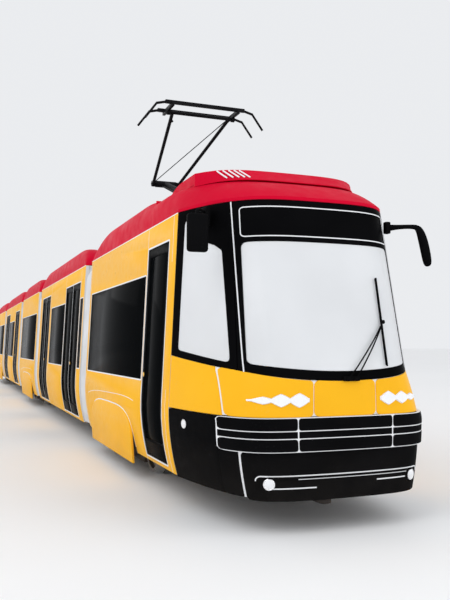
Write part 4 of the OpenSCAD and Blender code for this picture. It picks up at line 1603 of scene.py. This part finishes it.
@dataclass
class Section(Assembly):
    """One body section: walls, floor, roof covers, glazing, doors and rails."""

    name: str = "front"
    x0: float = 9.1
    x1: float = 13.67
    right_windows: tuple[Flat, ...] = ()
    left_windows: tuple[Flat, ...] = ()
    doors: tuple[Flat, ...] = ()
    door_node: str = ""
    cowl_ends: Flat = (1.0, 1.0)
    cowl_stop: float = 0.02
    lids: tuple[tuple[float, float, float], ...] = ()
    seams: tuple[float, ...] = ()
    bogie: float | None = None

    def shell(self) -> Object:
        """Refines the section's walls, floor and deck and paints them."""
        obj = Bench.from_node(self.frame, f"{self.name}_body_shell", f"{self.name}_body", 0.0035)

        def outer(c: Vector, n: Vector) -> bool:
            """Says whether a face is on a wall's outer side."""
            return abs(c.y) > LINE.half(c.z) - 0.016 and abs(n.y) > 0.5 and c.z > SILL_Z - 0.001

        def deck(c: Vector, n: Vector) -> bool:
            """Says whether a face is on the roof deck."""
            return c.z > 2.822 and n.z > 0.5 and abs(c.y) < 1.02

        def floor(c: Vector, n: Vector) -> bool:
            """Says whether a face is on the floor."""
            return n.z > 0.5 and abs(c.z - FLOOR_TOP) < 0.004

        def under(c: Vector, n: Vector) -> bool:
            """Says whether a face is under the floor."""
            return c.z < FLOOR_TOP - 0.003 and abs(c.y) < 1.03

        def ceiling(c: Vector, n: Vector) -> bool:
            """Says whether a face is on the ceiling."""
            return 2.8 < c.z < 2.84 and n.z < -0.5 and abs(c.y) < 1.02

        def rim(c: Vector, n: Vector) -> bool:
            """Says whether a face is on an opening's outer rim."""
            return abs(c.y) > LINE.half(c.z) - 0.05 and c.z > SILL_Z - 0.001

        # The ceiling faces get the glowing white finish: a painted glow, as the ceiling itself is no lamp.
        return self.shop.dress(obj, Paint.LINING, (Paint.YELLOW, outer), (Paint.ROOF_DECK, deck),
            (Paint.FLOORING, floor), (Paint.FRAME, under), (Paint.CEILING, ceiling), (Paint.YELLOW, rim))

    def glazing(self) -> tuple[Object, Object]:
        """Makes the side panes and their gaskets.

        Returns:
            The panes and the gaskets.
        """
        # The side panes are nearly opaque black: real tint plus painted shade of the dark inside.
        panes = self.shop.dress(Bench.from_node(self.frame, f"{self.name}_windows", f"{self.name}_panes", 0.002),
            Paint.TINTED)
        parts = []
        for side, windows in ((Side.RIGHT, self.right_windows), (Side.LEFT, self.left_windows)):
            for a, b in windows:
                loop = flank_loop(a, b, WINDOW_LOW, WINDOW_TOP, 0.03, side, -0.001)
                parts.append(ribbon("gasket", loop, 0.016, 0.0035, closed=True))
        return panes, self.piece(f"{self.name}_gaskets", parts, Paint.TRIM)

    def door_pieces(self) -> None:
        """Makes the door leaves, their glass, seals and buttons."""
        leaves = Bench.loose(Bench.from_node(self.frame, self.door_node, "leaves", 0.004))
        panes = [p for p in leaves if p.dimensions.z < 2.1]
        frames = [p for p in leaves if p.dimensions.z >= 2.1]
        black = self.shop.dress(Bench.join(f"{self.name}_door_frames", frames), Paint.BLACK)
        self.set(black, "door_black", self.door_node)
        # The door panes are nearly opaque black: real tint plus painted shade of the dark inside.
        self.set(self.shop.dress(Bench.join(f"{self.name}_door_glass", panes), Paint.TINTED), "tinted_glass")
        parts, buttons = [], []
        for a, b in self.doors:
            loop = flank_loop(a, b, DOOR_LOW, DOOR_TOP, 0.025, Side.RIGHT, -0.001)
            parts.append(ribbon("door_seal", loop, 0.018, 0.0035, closed=True))
            if b - a > 1.0:
                mid = (a + b) / 2
                rows = [(LINE.flank(mid, z, Side.RIGHT, -0.004), Vector((0, -1, 0)))
                    for z in [mix(DOOR_LOW + 0.01, DOOR_TOP - 0.01, k / 14) for k in range(15)]]
                parts.append(ribbon("leaf_seal", rows, 0.008, 0.003))
                spot = LINE.flank(mid + 0.10, 1.25, Side.RIGHT, -0.004)
            else:
                spot = LINE.flank(a + 0.05, 1.25, Side.RIGHT, -0.006)
            buttons.append(Bench.rod("button", tuple(spot), (spot.x, spot.y - 0.008, spot.z), 0.026, 28, 0.003))
        self.set(self.piece(f"{self.name}_door_seals", parts, Paint.TRIM), "bellows_grey")
        self.set(self.piece(f"{self.name}_door_buttons", buttons, Paint.RAIL), "fitting_black")

    def seam_lines(self) -> None:
        """Makes the pale joints between the side panels."""
        parts = []
        for side in (Side.LEFT, Side.RIGHT):
            for x in self.seams:
                for low, top in ((SILL_Z, WINDOW_LOW - 0.05), (WINDOW_TOP + 0.05, ROOF_Z - 0.006)):
                    rows = [(LINE.flank(x, z, side, -0.001), Vector((0, side.value, 0)))
                        for z in [mix(low, top, k / 10) for k in range(11)]]
                    parts.append(ribbon("seam", rows, 0.007, 0.002))
            edge = [(LINE.flank(x, ROOF_Z - 0.002, side, -0.002), Vector((0, side.value, 0)))
                for x in (self.x0 + 0.005, (self.x0 + self.x1) / 2, self.x1 - 0.003)]
            parts.append(ribbon("roof_edge", edge, 0.010, 0.004))
            if self.bogie is not None:
                parts += self.arch_lines(side)
        self.set(self.piece(f"{self.name}_seams", parts, Paint.TRIM), "bellows_grey")

    def arch_lines(self, side: Side) -> list[Object]:
        """Makes the pale joint round a bogie cover and the panel seam over it.

        Args:
            side: The side it is on.

        Returns:
            Its strips.
        """
        out = Vector((0, side.value, 0))
        arch = []
        for k in range(31):
            a = math.pi * k / 30
            x = self.bogie + 1.2575 * math.copysign(abs(math.cos(a)) ** 0.55, math.cos(a))
            arch.append((LINE.flank(x, 0.38 + 0.4475 * math.sin(a) ** 0.62, side, -0.004), out))
        parts = [ribbon("arch", arch, 0.026, 0.003)]
        rows = []
        for k in range(17):
            u = mix(-1.50, 1.38, k / 16)
            rows.append((LINE.flank(self.bogie + u, 0.945 + 0.022 * u - 0.012 * u**4, side, -0.001), out))
        parts.append(ribbon("cover_seam", rows, 0.007, 0.002))
        return parts

    def cowls(self) -> list[Object]:
        """Makes the two curved roof cowls.

        Returns:
            The cowls, as shells.
        """
        a, b = self.x0 + 0.02, self.x1 - self.cowl_stop
        rear, front = self.cowl_ends

        def line(t: float) -> Flat:
            """Returns a point of a cowl's outline: its curved outside, then its inner fall."""
            if t < 0.72:
                angle = math.pi / 2 * t / 0.72
                return 0.80 + 0.28 * math.cos(angle) ** 0.55, 0.38 * math.sin(angle) ** 0.85
            s = (t - 0.72) / 0.28
            return 0.80 - 0.03 * share(s * 4) - 0.004 * s, 0.38 * (1 - s**2)

        def height(x: float) -> float:
            """Returns the share of a cowl's full height at a place along the tram."""
            t = min(share((x - a) / rear), share((b - x) / front) if front else 1.0)
            dip = 0.0 if front else 0.16 * (1 - share((b - x) / 0.6)) ** 1.6
            return max(0.03, math.sqrt(max(0.0, 1 - (1 - t) ** 2)) - dip)

        def place(u: float, v: float) -> Vector:
            """Returns a point of the right cowl, with more rows where it curves down."""
            ends = 0.5 - 0.5 * math.cos(math.pi * u)
            x = mix(a, b, mix(u, ends, 0.75) if front else u**1.7)
            y, z = line(v)
            return Vector((x, -y, ROOF_Z + 0.002 + z * height(x)))

        right = Bench.thicken(Bench.sheet("cowl", 56, 26, place), 0.02)
        Bench.soften(right, 0.0, angle=50)
        return [right, Bench.twin(right, 1, "cowl_left")]

    def roof_lid(self, a: float, b: float, height: float) -> list[Object]:
        """Makes an equipment cover with louvres and handles.

        Args:
            a: Its rear end.
            b: Its front end.
            height: Its height above the roof edge.

        Returns:
            Its parts.
        """
        z = ROOF_Z + height
        parts = [Bench.box("lid", (a, -0.60, ROOF_Z + 0.002), (b, 0.60, z - 0.012), 0.035, 4)]
        count = max(2, int((b - a) / 0.55))
        for k in range(count):
            c = mix(a, b, (k + 0.5) / count)
            parts.append(Bench.box("panel", (c - 0.20, -0.50, z - 0.02), (c + 0.20, 0.50, z), 0.008, 2))
            for side in (-1, 1):
                y = side * 0.55
                parts.append(Bench.box("grip", (c - 0.06, y - 0.012, z - 0.022), (c + 0.06, y + 0.012, z - 0.004)))
        for side in (-1, 1):
            for k in range(5):
                h = ROOF_Z + 0.05 + k * (height - 0.12) / 5
                y0, y1 = sorted((side * 0.595, side * 0.610))
                parts.append(Bench.box("louvre", (a + 0.12, y0, h), (b - 0.12, y1, h + 0.016), 0.004, 1))
        return parts

    def roof(self) -> None:
        """Builds the roof covers."""
        red = self.piece(f"{self.name}_cowls", self.cowls(), Paint.RED)
        self.set(red, "roof_red", f"{self.name}_roof_covers")
        parts = [p for lid in self.lids for p in self.roof_lid(*lid)]
        if parts:
            self.set(self.piece(f"{self.name}_roof_lids", parts, Paint.ROOF_GREY), "roof_red")

    def rails(self) -> None:
        """Makes the grab rails and the ceiling lights."""
        parts, lights = [], []
        start, end = self.x0 + 0.25, min(self.x1 - 0.35, 13.2)
        count = max(2, round((end - start) / 1.5))
        for side in (-1, 1):
            y, mid = side * 0.575, side * 0.74
            for k in range(count + 1):
                x = mix(start, end, k / count)
                parts.append(Bench.rod("pole", (x, y, FLOOR_TOP + 0.004), (x, y, 2.826), 0.016, 14))
            parts.append(Bench.rod("rail", (start, y, 2.05), (end, y, 2.05), 0.015, 14))
            lights.append(Bench.box("light", (start, mid - 0.05, 2.806), (end, mid + 0.05, 2.8285), 0.006))
        self.set(self.piece(f"{self.name}_rails", parts, Paint.RAIL), "interior_grey")
        self.set(self.piece(f"{self.name}_lights", lights, Paint.CEILING), "interior_grey")

    def build(self) -> None:
        """Builds the section."""
        self.set(self.shell(), "body_yellow", f"{self.name}_body_shell")
        panes, gaskets = self.glazing()
        self.set(panes, "tinted_glass", f"{self.name}_windows")
        self.set(gaskets, "bellows_grey")
        if self.doors:
            self.door_pieces()
        self.seam_lines()
        self.roof()
        self.rails()


@dataclass
class Hood(Assembly):
    """The crimson hood over a cab, with vents in its crown."""

    name: str = "cab"
    start: float = 12.70
    height: float = 0.280
    rim: float = 0.030
    crest: float = 3.315
    crest_half: float = 0.90
    crest_front: float = 13.95
    cells: tuple[int, int] = (48, 72)

    def crown(self, r: float, x: float) -> float:
        """Returns the hood's height above the roof edge.

        Args:
            r: Share of the half width.
            x: Place along the tram.

        Returns:
            The height there.
        """
        gap = share((LINE.nose_x(r, ROOF_Z) - x) / 0.75)
        across = (1 - min(1.0, abs(r)) ** 10) ** 0.2
        return self.rim + self.height * across * (1 - (1 - gap) ** 1.7)

    def place(self, u: float, v: float) -> Vector:
        """Returns a point of the hood's outer face, with an upright lip round its edge.

        Args:
            u: Share along the hood.
            v: Share across it, from right to left.

        Returns:
            The point.
        """
        along, across = self.cells
        w = mix(-1, 1, share((v * across - 1) / (across - 2)))
        r = math.copysign(1 - (1 - abs(w)) ** 1.8, w)
        front = LINE.nose_x(r, ROOF_Z)
        x = mix(self.start, front, 1 - (1 - share(u * along / (along - 1))) ** 1.6)
        lip = u > 1 - 0.5 / along or min(v, 1 - v) < 0.5 / across
        return Vector((x, r * LINE.half(ROOF_Z), ROOF_Z + 0.002 + (0.0 if lip else self.crown(r, x))))

    def crest_block(self) -> Object:
        """Makes the raised housing on the hood, its front bowed like the nose."""
        half = self.crest_half
        block = Bench.box("crest", (self.start + 0.02, -half, 3.17), (self.crest_front, half, self.crest), 0.0)
        Bench.edit(block, lambda: bpy.ops.mesh.subdivide(number_cuts=23))
        length = self.crest_front - self.start - 0.02
        for vertex in block.data.vertices:
            t = (vertex.co.x - self.start - 0.02) / length
            edge = abs(vertex.co.y) / half
            vertex.co.x += t * (0.22 * (1 - edge**4) * share((self.crest - vertex.co.z) / 0.14) - 0.30 * edge**5)
            vertex.co.z -= (vertex.co.z > 3.2) * (0.012 * edge**2 + 0.10 * edge**6 * (1 - share(t / 0.55)) ** 2)
        return Bench.soften(block, 0.035, 4, 35)

    def build(self) -> None:
        """Builds the hood and its vents."""
        sheet = Bench.sheet("hood", *self.cells, self.place)
        Bench.edit(sheet, lambda: bpy.ops.mesh.remove_doubles(threshold=1e-5))
        top = Bench.thicken(sheet, 0.020)
        rear = Bench.box("rear_wall", (self.start, -1.04, ROOF_Z + 0.002), (self.start + 0.02, 1.04, ROOF_Z + 0.30))
        hood = self.piece(f"{self.name}_hood", [Bench.soften(top, 0.005, 2, 60), self.crest_block(), rear], Paint.RED)
        ceiling = Bench.stencil([(-0.93, 2.872), (0.93, 2.872), (0.93, 2.886), (-0.93, 2.886)], "X", 13.70, 14.04)
        vents = []
        for k in range(5):
            rows = []
            for t in range(8):
                y, z = -0.74 + 0.050 * k + 0.055 * t / 7, mix(self.crest - 0.020, self.crest - 0.115, t / 7)
                edge = abs(y) / self.crest_half
                x = self.crest_front + 0.22 * (1 - edge**4) * (self.crest - z) / 0.14 - 0.30 * edge**5
                rows.append((Vector((x + 0.002, y, z)), Vector((0.45, -0.55, 0.70)).normalized()))
            vents.append(ribbon("vent", rows, 0.014, 0.006))
        self.set(hood, "roof_red")
        self.set(self.piece(f"{self.name}_hood_vents", vents, Paint.TRIM), "bellows_grey")
        # The cab ceiling plate gets the glowing white finish: a painted glow, as the plate is no lamp.
        self.set(self.piece(f"{self.name}_ceiling", [ceiling], Paint.CEILING), "interior_grey")


@dataclass
class Bogie(Assembly):
    """A bogie: its frame, side covers and two wheelsets."""

    name: str = "front"
    middle: float = 10.85
    wheelsets: tuple[int, int] = (1, 2)

    def build(self) -> None:
        """Builds the bogie."""
        frame = Bench.from_node(self.frame, f"{self.name}_bogie_frame", f"{self.name}_bogie", 0.006, 2)
        extras = []
        for s in (-1, 1):
            for d in (-0.26, 0.26):
                for k in range(6):
                    Bench.clear()
                    bpy.ops.mesh.primitive_torus_add(major_radius=0.066, minor_radius=0.011, major_segments=28,
                        minor_segments=8, location=(self.middle + d, s * 0.92, 0.46 + 0.036 * k))
                    extras.append(Bench.settle(bpy.context.object, "coil"))
        gear = Bench.join(f"{self.name}_bogie", [frame, *extras])
        Bench.soften(gear, 0.0)
        self.set(self.shop.dress(gear, Paint.FRAME), "bogie_steel", f"{self.name}_bogie_frame")
        covers = Bench.from_node(self.frame, f"{self.name}_bogie_covers", f"{self.name}_skirts", 0.010, 3)
        self.set(self.shop.dress(covers, Paint.YELLOW), "body_yellow", f"{self.name}_bogie_covers")
        for number in self.wheelsets:
            node = f"wheelset_{number}"
            obj = Bench.from_node(self.frame, node, f"wheels_{number}", 0.003, 1)
            lo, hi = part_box(node)
            axle = (lo[0] + hi[0]) / 2

            def tread(c: Vector, n: Vector, axle: float = axle) -> bool:
                """Says whether a face is on a wheel's rolling rim."""
                return math.hypot(c.x - axle, c.z - AXLE_Z) > 0.284 and abs(c.y) > 0.700

            Bench.slim(obj, (axle, AXLE_Z), 0.982, lambda c, gap: abs(c.y) > 0.845)
            caps = [Bench.rod("cap", (axle, s * 0.984, AXLE_Z), (axle, s * 0.992, AXLE_Z), 0.070, 32, 0.003)
                for s in (-1, 1)]
            obj = Bench.join(f"wheels_{number}", [obj, *caps])
            self.set(self.shop.dress(obj, Paint.STEEL, (Paint.TREAD, tread)), "wheel_steel", node, body=node)


@dataclass
class Bellows(Assembly):
    """Folding bellows round a gangway."""

    name: str = "front"
    start: float = 8.529
    end: float = 9.096
    rear_body: Body = Body.SECOND
    front_body: Body = Body.FRONT
    folds: int = 9
    depth: float = 0.045

    @staticmethod
    def path(t: float) -> tuple[float, float, float, float]:
        """Returns a point of the inverted U and its outward direction.

        Args:
            t: Share along it, from the right foot to the left one.

        Returns:
            y, z and the direction's y and z.
        """
        side = -1 if t < 0.5 else 1
        s = 1 - abs(2 * t - 1)
        turn = 0.70
        if s < turn:
            z = mix(0.33, 2.62, s / turn)
            return side * (LINE.half(z) - 0.027), z, side, 0.0
        q = share((s - turn) / 0.12)
        angle = q * math.pi / 2
        if q < 1:
            y, z = LINE.half(2.62) - 0.027 - 0.20 + 0.20 * math.cos(angle), 2.62 + 0.228 * math.sin(angle)
            return side * y, z, side * math.cos(angle), math.sin(angle)
        rest = (s - turn - 0.12) / 0.18
        return side * (LINE.half(2.62) - 0.227) * (1 - rest), 2.848, 0.0, 1.0

    def build(self) -> None:
        """Builds the bellows with alternating folds."""

        def place(u: float, v: float) -> Vector:
            """Returns a point of the folds."""
            y, z, ny, nz = self.path(v)
            wave = 0.5 - 0.5 * math.cos(2 * math.pi * self.folds * u)
            dip = self.depth * wave**0.6
            return Vector((mix(self.start, self.end, u), y - ny * dip, z - nz * dip))

        obj = Bench.thicken(Bench.sheet(f"{self.name}_bellows", self.folds * 8, 60, place), 0.006)
        Bench.soften(obj, 0.0, angle=70)
        self.shop.dress(self.turned(obj), Paint.BELLOWS)
        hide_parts(f"bellows_{self.name}")
        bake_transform(obj)
        LOG.info("%s: %d faces between %s and %s", obj.name, len(obj.data.polygons), self.rear_body.value,
            self.front_body.value)


@dataclass
class Pantograph(Assembly):
    """The raised pantograph: base on insulators, two arms and the collector head."""

    hinge: Point = (11.22, 0.0, 3.525)
    knee: Point = (9.50, 0.0, 4.125)
    top: float = 4.725

    def insulator(self, x: float, y: float) -> list[Object]:
        """Makes a ribbed insulator under the base.

        Args:
            x: Its place along the tram.
            y: Its place across.

        Returns:
            Its parts.
        """
        parts = [Bench.rod("core", (x, y, ROOF_Z + 0.002), (x, y, 3.238), 0.040, 24)]
        for k in range(5):
            z = 2.95 + 0.055 * k
            parts.append(Bench.rod("shed", (x, y, z), (x, y, z + 0.026), 0.047, 28, 0.004, tip=0.042))
        return parts

    def build(self) -> None:
        """Builds the pantograph."""
        base = Bench.from_node(self.frame, "pantograph_base", "base_copy", 0.004)

        def pot(c: Vector, n: Vector) -> bool:
            """Says whether a face is on an insulator."""
            return c.z < 3.238

        extras = [Bench.rod("spring", (10.45, y, 3.335), (11.05, y, 3.36), 0.028, 20, 0.004) for y in (-0.36, 0.36)]
        extras += [Bench.rod("damper", (10.42, 0.24, 3.32), (11.0, 0.24, 3.335), 0.022, 20, 0.003)]
        extras += [Bench.box("bearing", (11.16, y - 0.02, 3.30), (11.28, y + 0.02, 3.34)) for y in (-0.315, 0.315)]
        base = Bench.join("pantograph_stand", [base, *extras])
        self.set(self.shop.dress(base, Paint.ARM, (Paint.CERAMIC, pot)), "pantograph_steel", "pantograph_base")
        sheds = [p for x in (-0.9, 0.35) for y in (-0.42, 0.42) for p in self.insulator(self.hinge[0] + x, y)]
        self.set(self.piece("pantograph_insulators", sheds, Paint.CERAMIC), "pantograph_steel")
        lower = Bench.from_node(self.frame, "pantograph_lower_arm", "lower_copy", 0.003)
        hx, _, hz = self.hinge
        kx, _, kz = self.knee
        Bench.slim(lower, (kx, kz), 0.96, lambda c, gap: abs(c.y) > 0.165 and gap < 0.0190)
        stay = Bench.rod("stay", (mix(hx, kx, 0.10), -0.075, mix(hz, kz, 0.10) - 0.03),
            (mix(hx, kx, 0.97), -0.075, kz - 0.040), 0.012, 14)
        lower = self.piece("pantograph_lower", [lower, stay], Paint.ARM)
        self.set(lower, "pantograph_steel", "pantograph_lower_arm", body=Body.LOWER_ARM.value)
        upper = Bench.from_node(self.frame, "pantograph_upper_arm", "upper_copy", 0.002)
        stays = [Bench.rod("stay", (kx + 0.034, -0.20, kz + 0.016), (mix(kx, hx, 0.985), 0.385, self.top - 0.012),
            0.0065, 12)]
        x, z = mix(kx, hx, 0.93), mix(kz, self.top, 0.93)
        stays += [Bench.rod("lug", (x, s * 0.37, z - 0.05), (x, s * 0.40, z), 0.014, 12) for s in (-1, 1)]
        upper = self.piece("pantograph_upper", [upper, *stays], Paint.ARM)
        self.set(upper, "pantograph_steel", "pantograph_upper_arm", body=Body.UPPER_ARM.value)
        head = Bench.from_node(self.frame, "pantograph_head", "collector", 0.003)

        def strip(c: Vector, n: Vector) -> bool:
            """Says whether a face is on a contact strip."""
            return c.z > self.top + 0.085 and abs(c.y) < 0.56

        self.set(self.shop.dress(head, Paint.ARM, (Paint.CARBON, strip)), "pantograph_steel", "pantograph_head",
            body=Body.HEAD.value)


@dataclass
class Studio:
    """Plain pale floor, soft lights and the camera."""

    shop: PaintShop
    eye: Point = (20.517, -3.199, 1.58)
    heading: float = 20.917
    pitch: float = 3.512
    focal: float = 43.516

    def build(self) -> None:
        """Sets the floor, the lights and the camera."""
        Bench.clear()
        bpy.ops.mesh.primitive_plane_add(size=400, location=(0, 0, -0.001))
        floor = Bench.settle(bpy.context.object, "studio_floor")
        self.shop.dress(floor, Paint.FLOOR)
        world = bpy.data.worlds.new("studio")
        bpy.context.scene.world = world
        world.use_nodes = True
        sky = world.node_tree.nodes["Background"]
        sky.inputs["Color"].default_value = (0.90, 0.915, 0.94, 1)
        sky.inputs["Strength"].default_value = 0.92
        bpy.context.scene.view_settings.view_transform = "Standard"
        for name, spot, aim, size, power in (
            ("key", (20, -18, 17), (8, 0, 1.5), 16, 1250),
            ("fill", (24, 10, 10), (12, 0, 1.5), 12, 450),
            ("rear", (-22, -10, 14), (-8, 0, 1.5), 16, 700),
        ):
            light = bpy.data.lights.new(name, "AREA")
            light.size, light.energy = size, power
            lamp = bpy.data.objects.new(name, light)
            lamp.location = spot
            lamp.rotation_euler = (Vector(spot) - Vector(aim)).to_track_quat("Z", "Y").to_euler()
            bpy.context.scene.collection.objects.link(lamp)
        camera = bpy.data.cameras.new("camera")
        camera.sensor_width, camera.lens = 36.0, self.focal
        camera.clip_end = 600
        holder = bpy.data.objects.new("camera", camera)
        holder.location = self.eye
        a, p = math.radians(self.heading), math.radians(self.pitch)
        ahead = Vector((-math.cos(a) * math.cos(p), math.sin(a) * math.cos(p), math.sin(p)))
        holder.rotation_euler = ahead.to_track_quat("-Z", "Y").to_euler()
        bpy.context.scene.collection.objects.link(holder)
        bpy.context.scene.camera = holder


BOX_BASE = 0.717
FLOOR_BASE = 0.412
END_SEATS = (*((x, turn, side, BOX_BASE) for side in (1, -1)
    for x, turn in ((9.88, 1), (10.69, -1), (11.21, 1), (11.92, -1))), (12.70, 1, 1, FLOOR_BASE))
SECOND_SEATS = tuple((x, turn, side, FLOOR_BASE) for x, turn, side in ((3.10, 1, 1), (3.90, -1, 1), (4.70, 1, 1),
    (5.48, -1, 1), (6.02, 1, 1), (6.80, -1, 1), (7.32, 1, 1), (4.75, 1, -1), (5.50, -1, -1), (6.18, -1, -1)))
MIDDLE_SEATS = tuple((x, turn, side, BOX_BASE) for side in (1, -1)
    for x, turn in ((-1.04, 1), (-0.26, -1), (0.26, 1), (1.04, -1)))
END_GLASS = {"right_windows": ((9.24, 12.56),), "left_windows": ((9.24, 12.48), (12.60, 13.44)),
    "doors": ((12.597, 13.427),)}
SECOND_GLASS = {"right_windows": ((4.571, 6.51), (8.195, 8.48)),
    "left_windows": ((2.76, 4.46), (4.571, 6.51), (6.63, 8.40)), "doors": ((6.545, 8.153), (2.961, 4.344))}


def main() -> None:
    """Builds the tram's looks in order."""
    logging.basicConfig(level=logging.INFO, format="%(name)s: %(message)s")
    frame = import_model()
    shop = PaintShop()
    Studio(shop).build()
    end = {"x0": 9.1, "x1": 13.67, "cowl_ends": (1.1, 0.0), "cowl_stop": 0.974, "bogie": 10.85,
        "seams": (9.16, 12.578, 13.55)}
    second = {"x0": 2.575, "x1": 8.525, "lids": ((3.3, 5.5, 0.29), (5.56, 7.8, 0.25)), "seams": (4.45, 6.528, 8.175)}
    assemblies: list[Assembly] = [
        Section(frame, shop, Body.FRONT, name="front", door_node="front_door", lids=((12.13, 12.65, 0.23),), **end,
            **END_GLASS),
        Section(frame, shop, Body.SECOND, name="second", door_node="second_doors", **second, **SECOND_GLASS),
        Section(frame, shop, Body.MIDDLE, name="middle", x0=-2.0, x1=2.0, right_windows=((-1.82, 1.82),),
            left_windows=((-1.82, 1.82),), cowl_ends=(0.9, 0.9), lids=((-1.3, 1.3, 0.27),), bogie=0.0,
            seams=(-1.90, 1.90)),
        Section(frame, shop, Body.FOURTH, name="fourth", facing=-1, door_node="fourth_doors", **second, **SECOND_GLASS),
        Section(frame, shop, Body.REAR, name="rear", facing=-1, door_node="rear_door", lids=((9.7, 12.56, 0.26),),
            **end, **END_GLASS),
        Nose(frame, shop, Body.FRONT),
        Hood(frame, shop, Body.FRONT),
        Lamps(frame, shop, Body.FRONT),
        Mirrors(frame, shop, Body.FRONT),
        Wiper(frame, shop, Body.FRONT),
        Cab(frame, shop, Body.FRONT),
        Nose(frame, shop, Body.REAR, facing=-1, prefix="tail"),
        Hood(frame, shop, Body.REAR, name="tail", facing=-1),
        Lamps(frame, shop, Body.REAR, facing=-1, prefix="tail", lens=Paint.RED_LENS),
        Seats(frame, shop, Body.FRONT, node="front_seats", rows=END_SEATS, driver=True),
        Seats(frame, shop, Body.SECOND, node="second_seats", rows=SECOND_SEATS),
        Seats(frame, shop, Body.MIDDLE, node="middle_seats", rows=MIDDLE_SEATS),
        Seats(frame, shop, Body.FOURTH, node="fourth_seats", facing=-1, rows=SECOND_SEATS),
        Seats(frame, shop, Body.REAR, node="rear_seats", facing=-1, rows=END_SEATS),
        Bogie(frame, shop, Body.FRONT, name="front", middle=10.85, wheelsets=(1, 2)),
        Bogie(frame, shop, Body.MIDDLE, name="middle", middle=0.0, wheelsets=(3, 4)),
        Bogie(frame, shop, Body.REAR, name="rear", middle=-10.85, wheelsets=(5, 6)),
        Bellows(frame, shop, name="front"),
        Bellows(frame, shop, name="second", start=2.004, end=2.571, rear_body=Body.MIDDLE, front_body=Body.SECOND),
        Bellows(frame, shop, name="fourth", start=2.004, end=2.571, rear_body=Body.MIDDLE, front_body=Body.FOURTH,
            facing=-1),
        Bellows(frame, shop, name="rear", rear_body=Body.FOURTH, front_body=Body.REAR, facing=-1),
        Pantograph(frame, shop, Body.FRONT),
    ]
    for assembly in assemblies:
        assembly.build()
    Bench.clear()


if __name__ == "__main__":
    main()
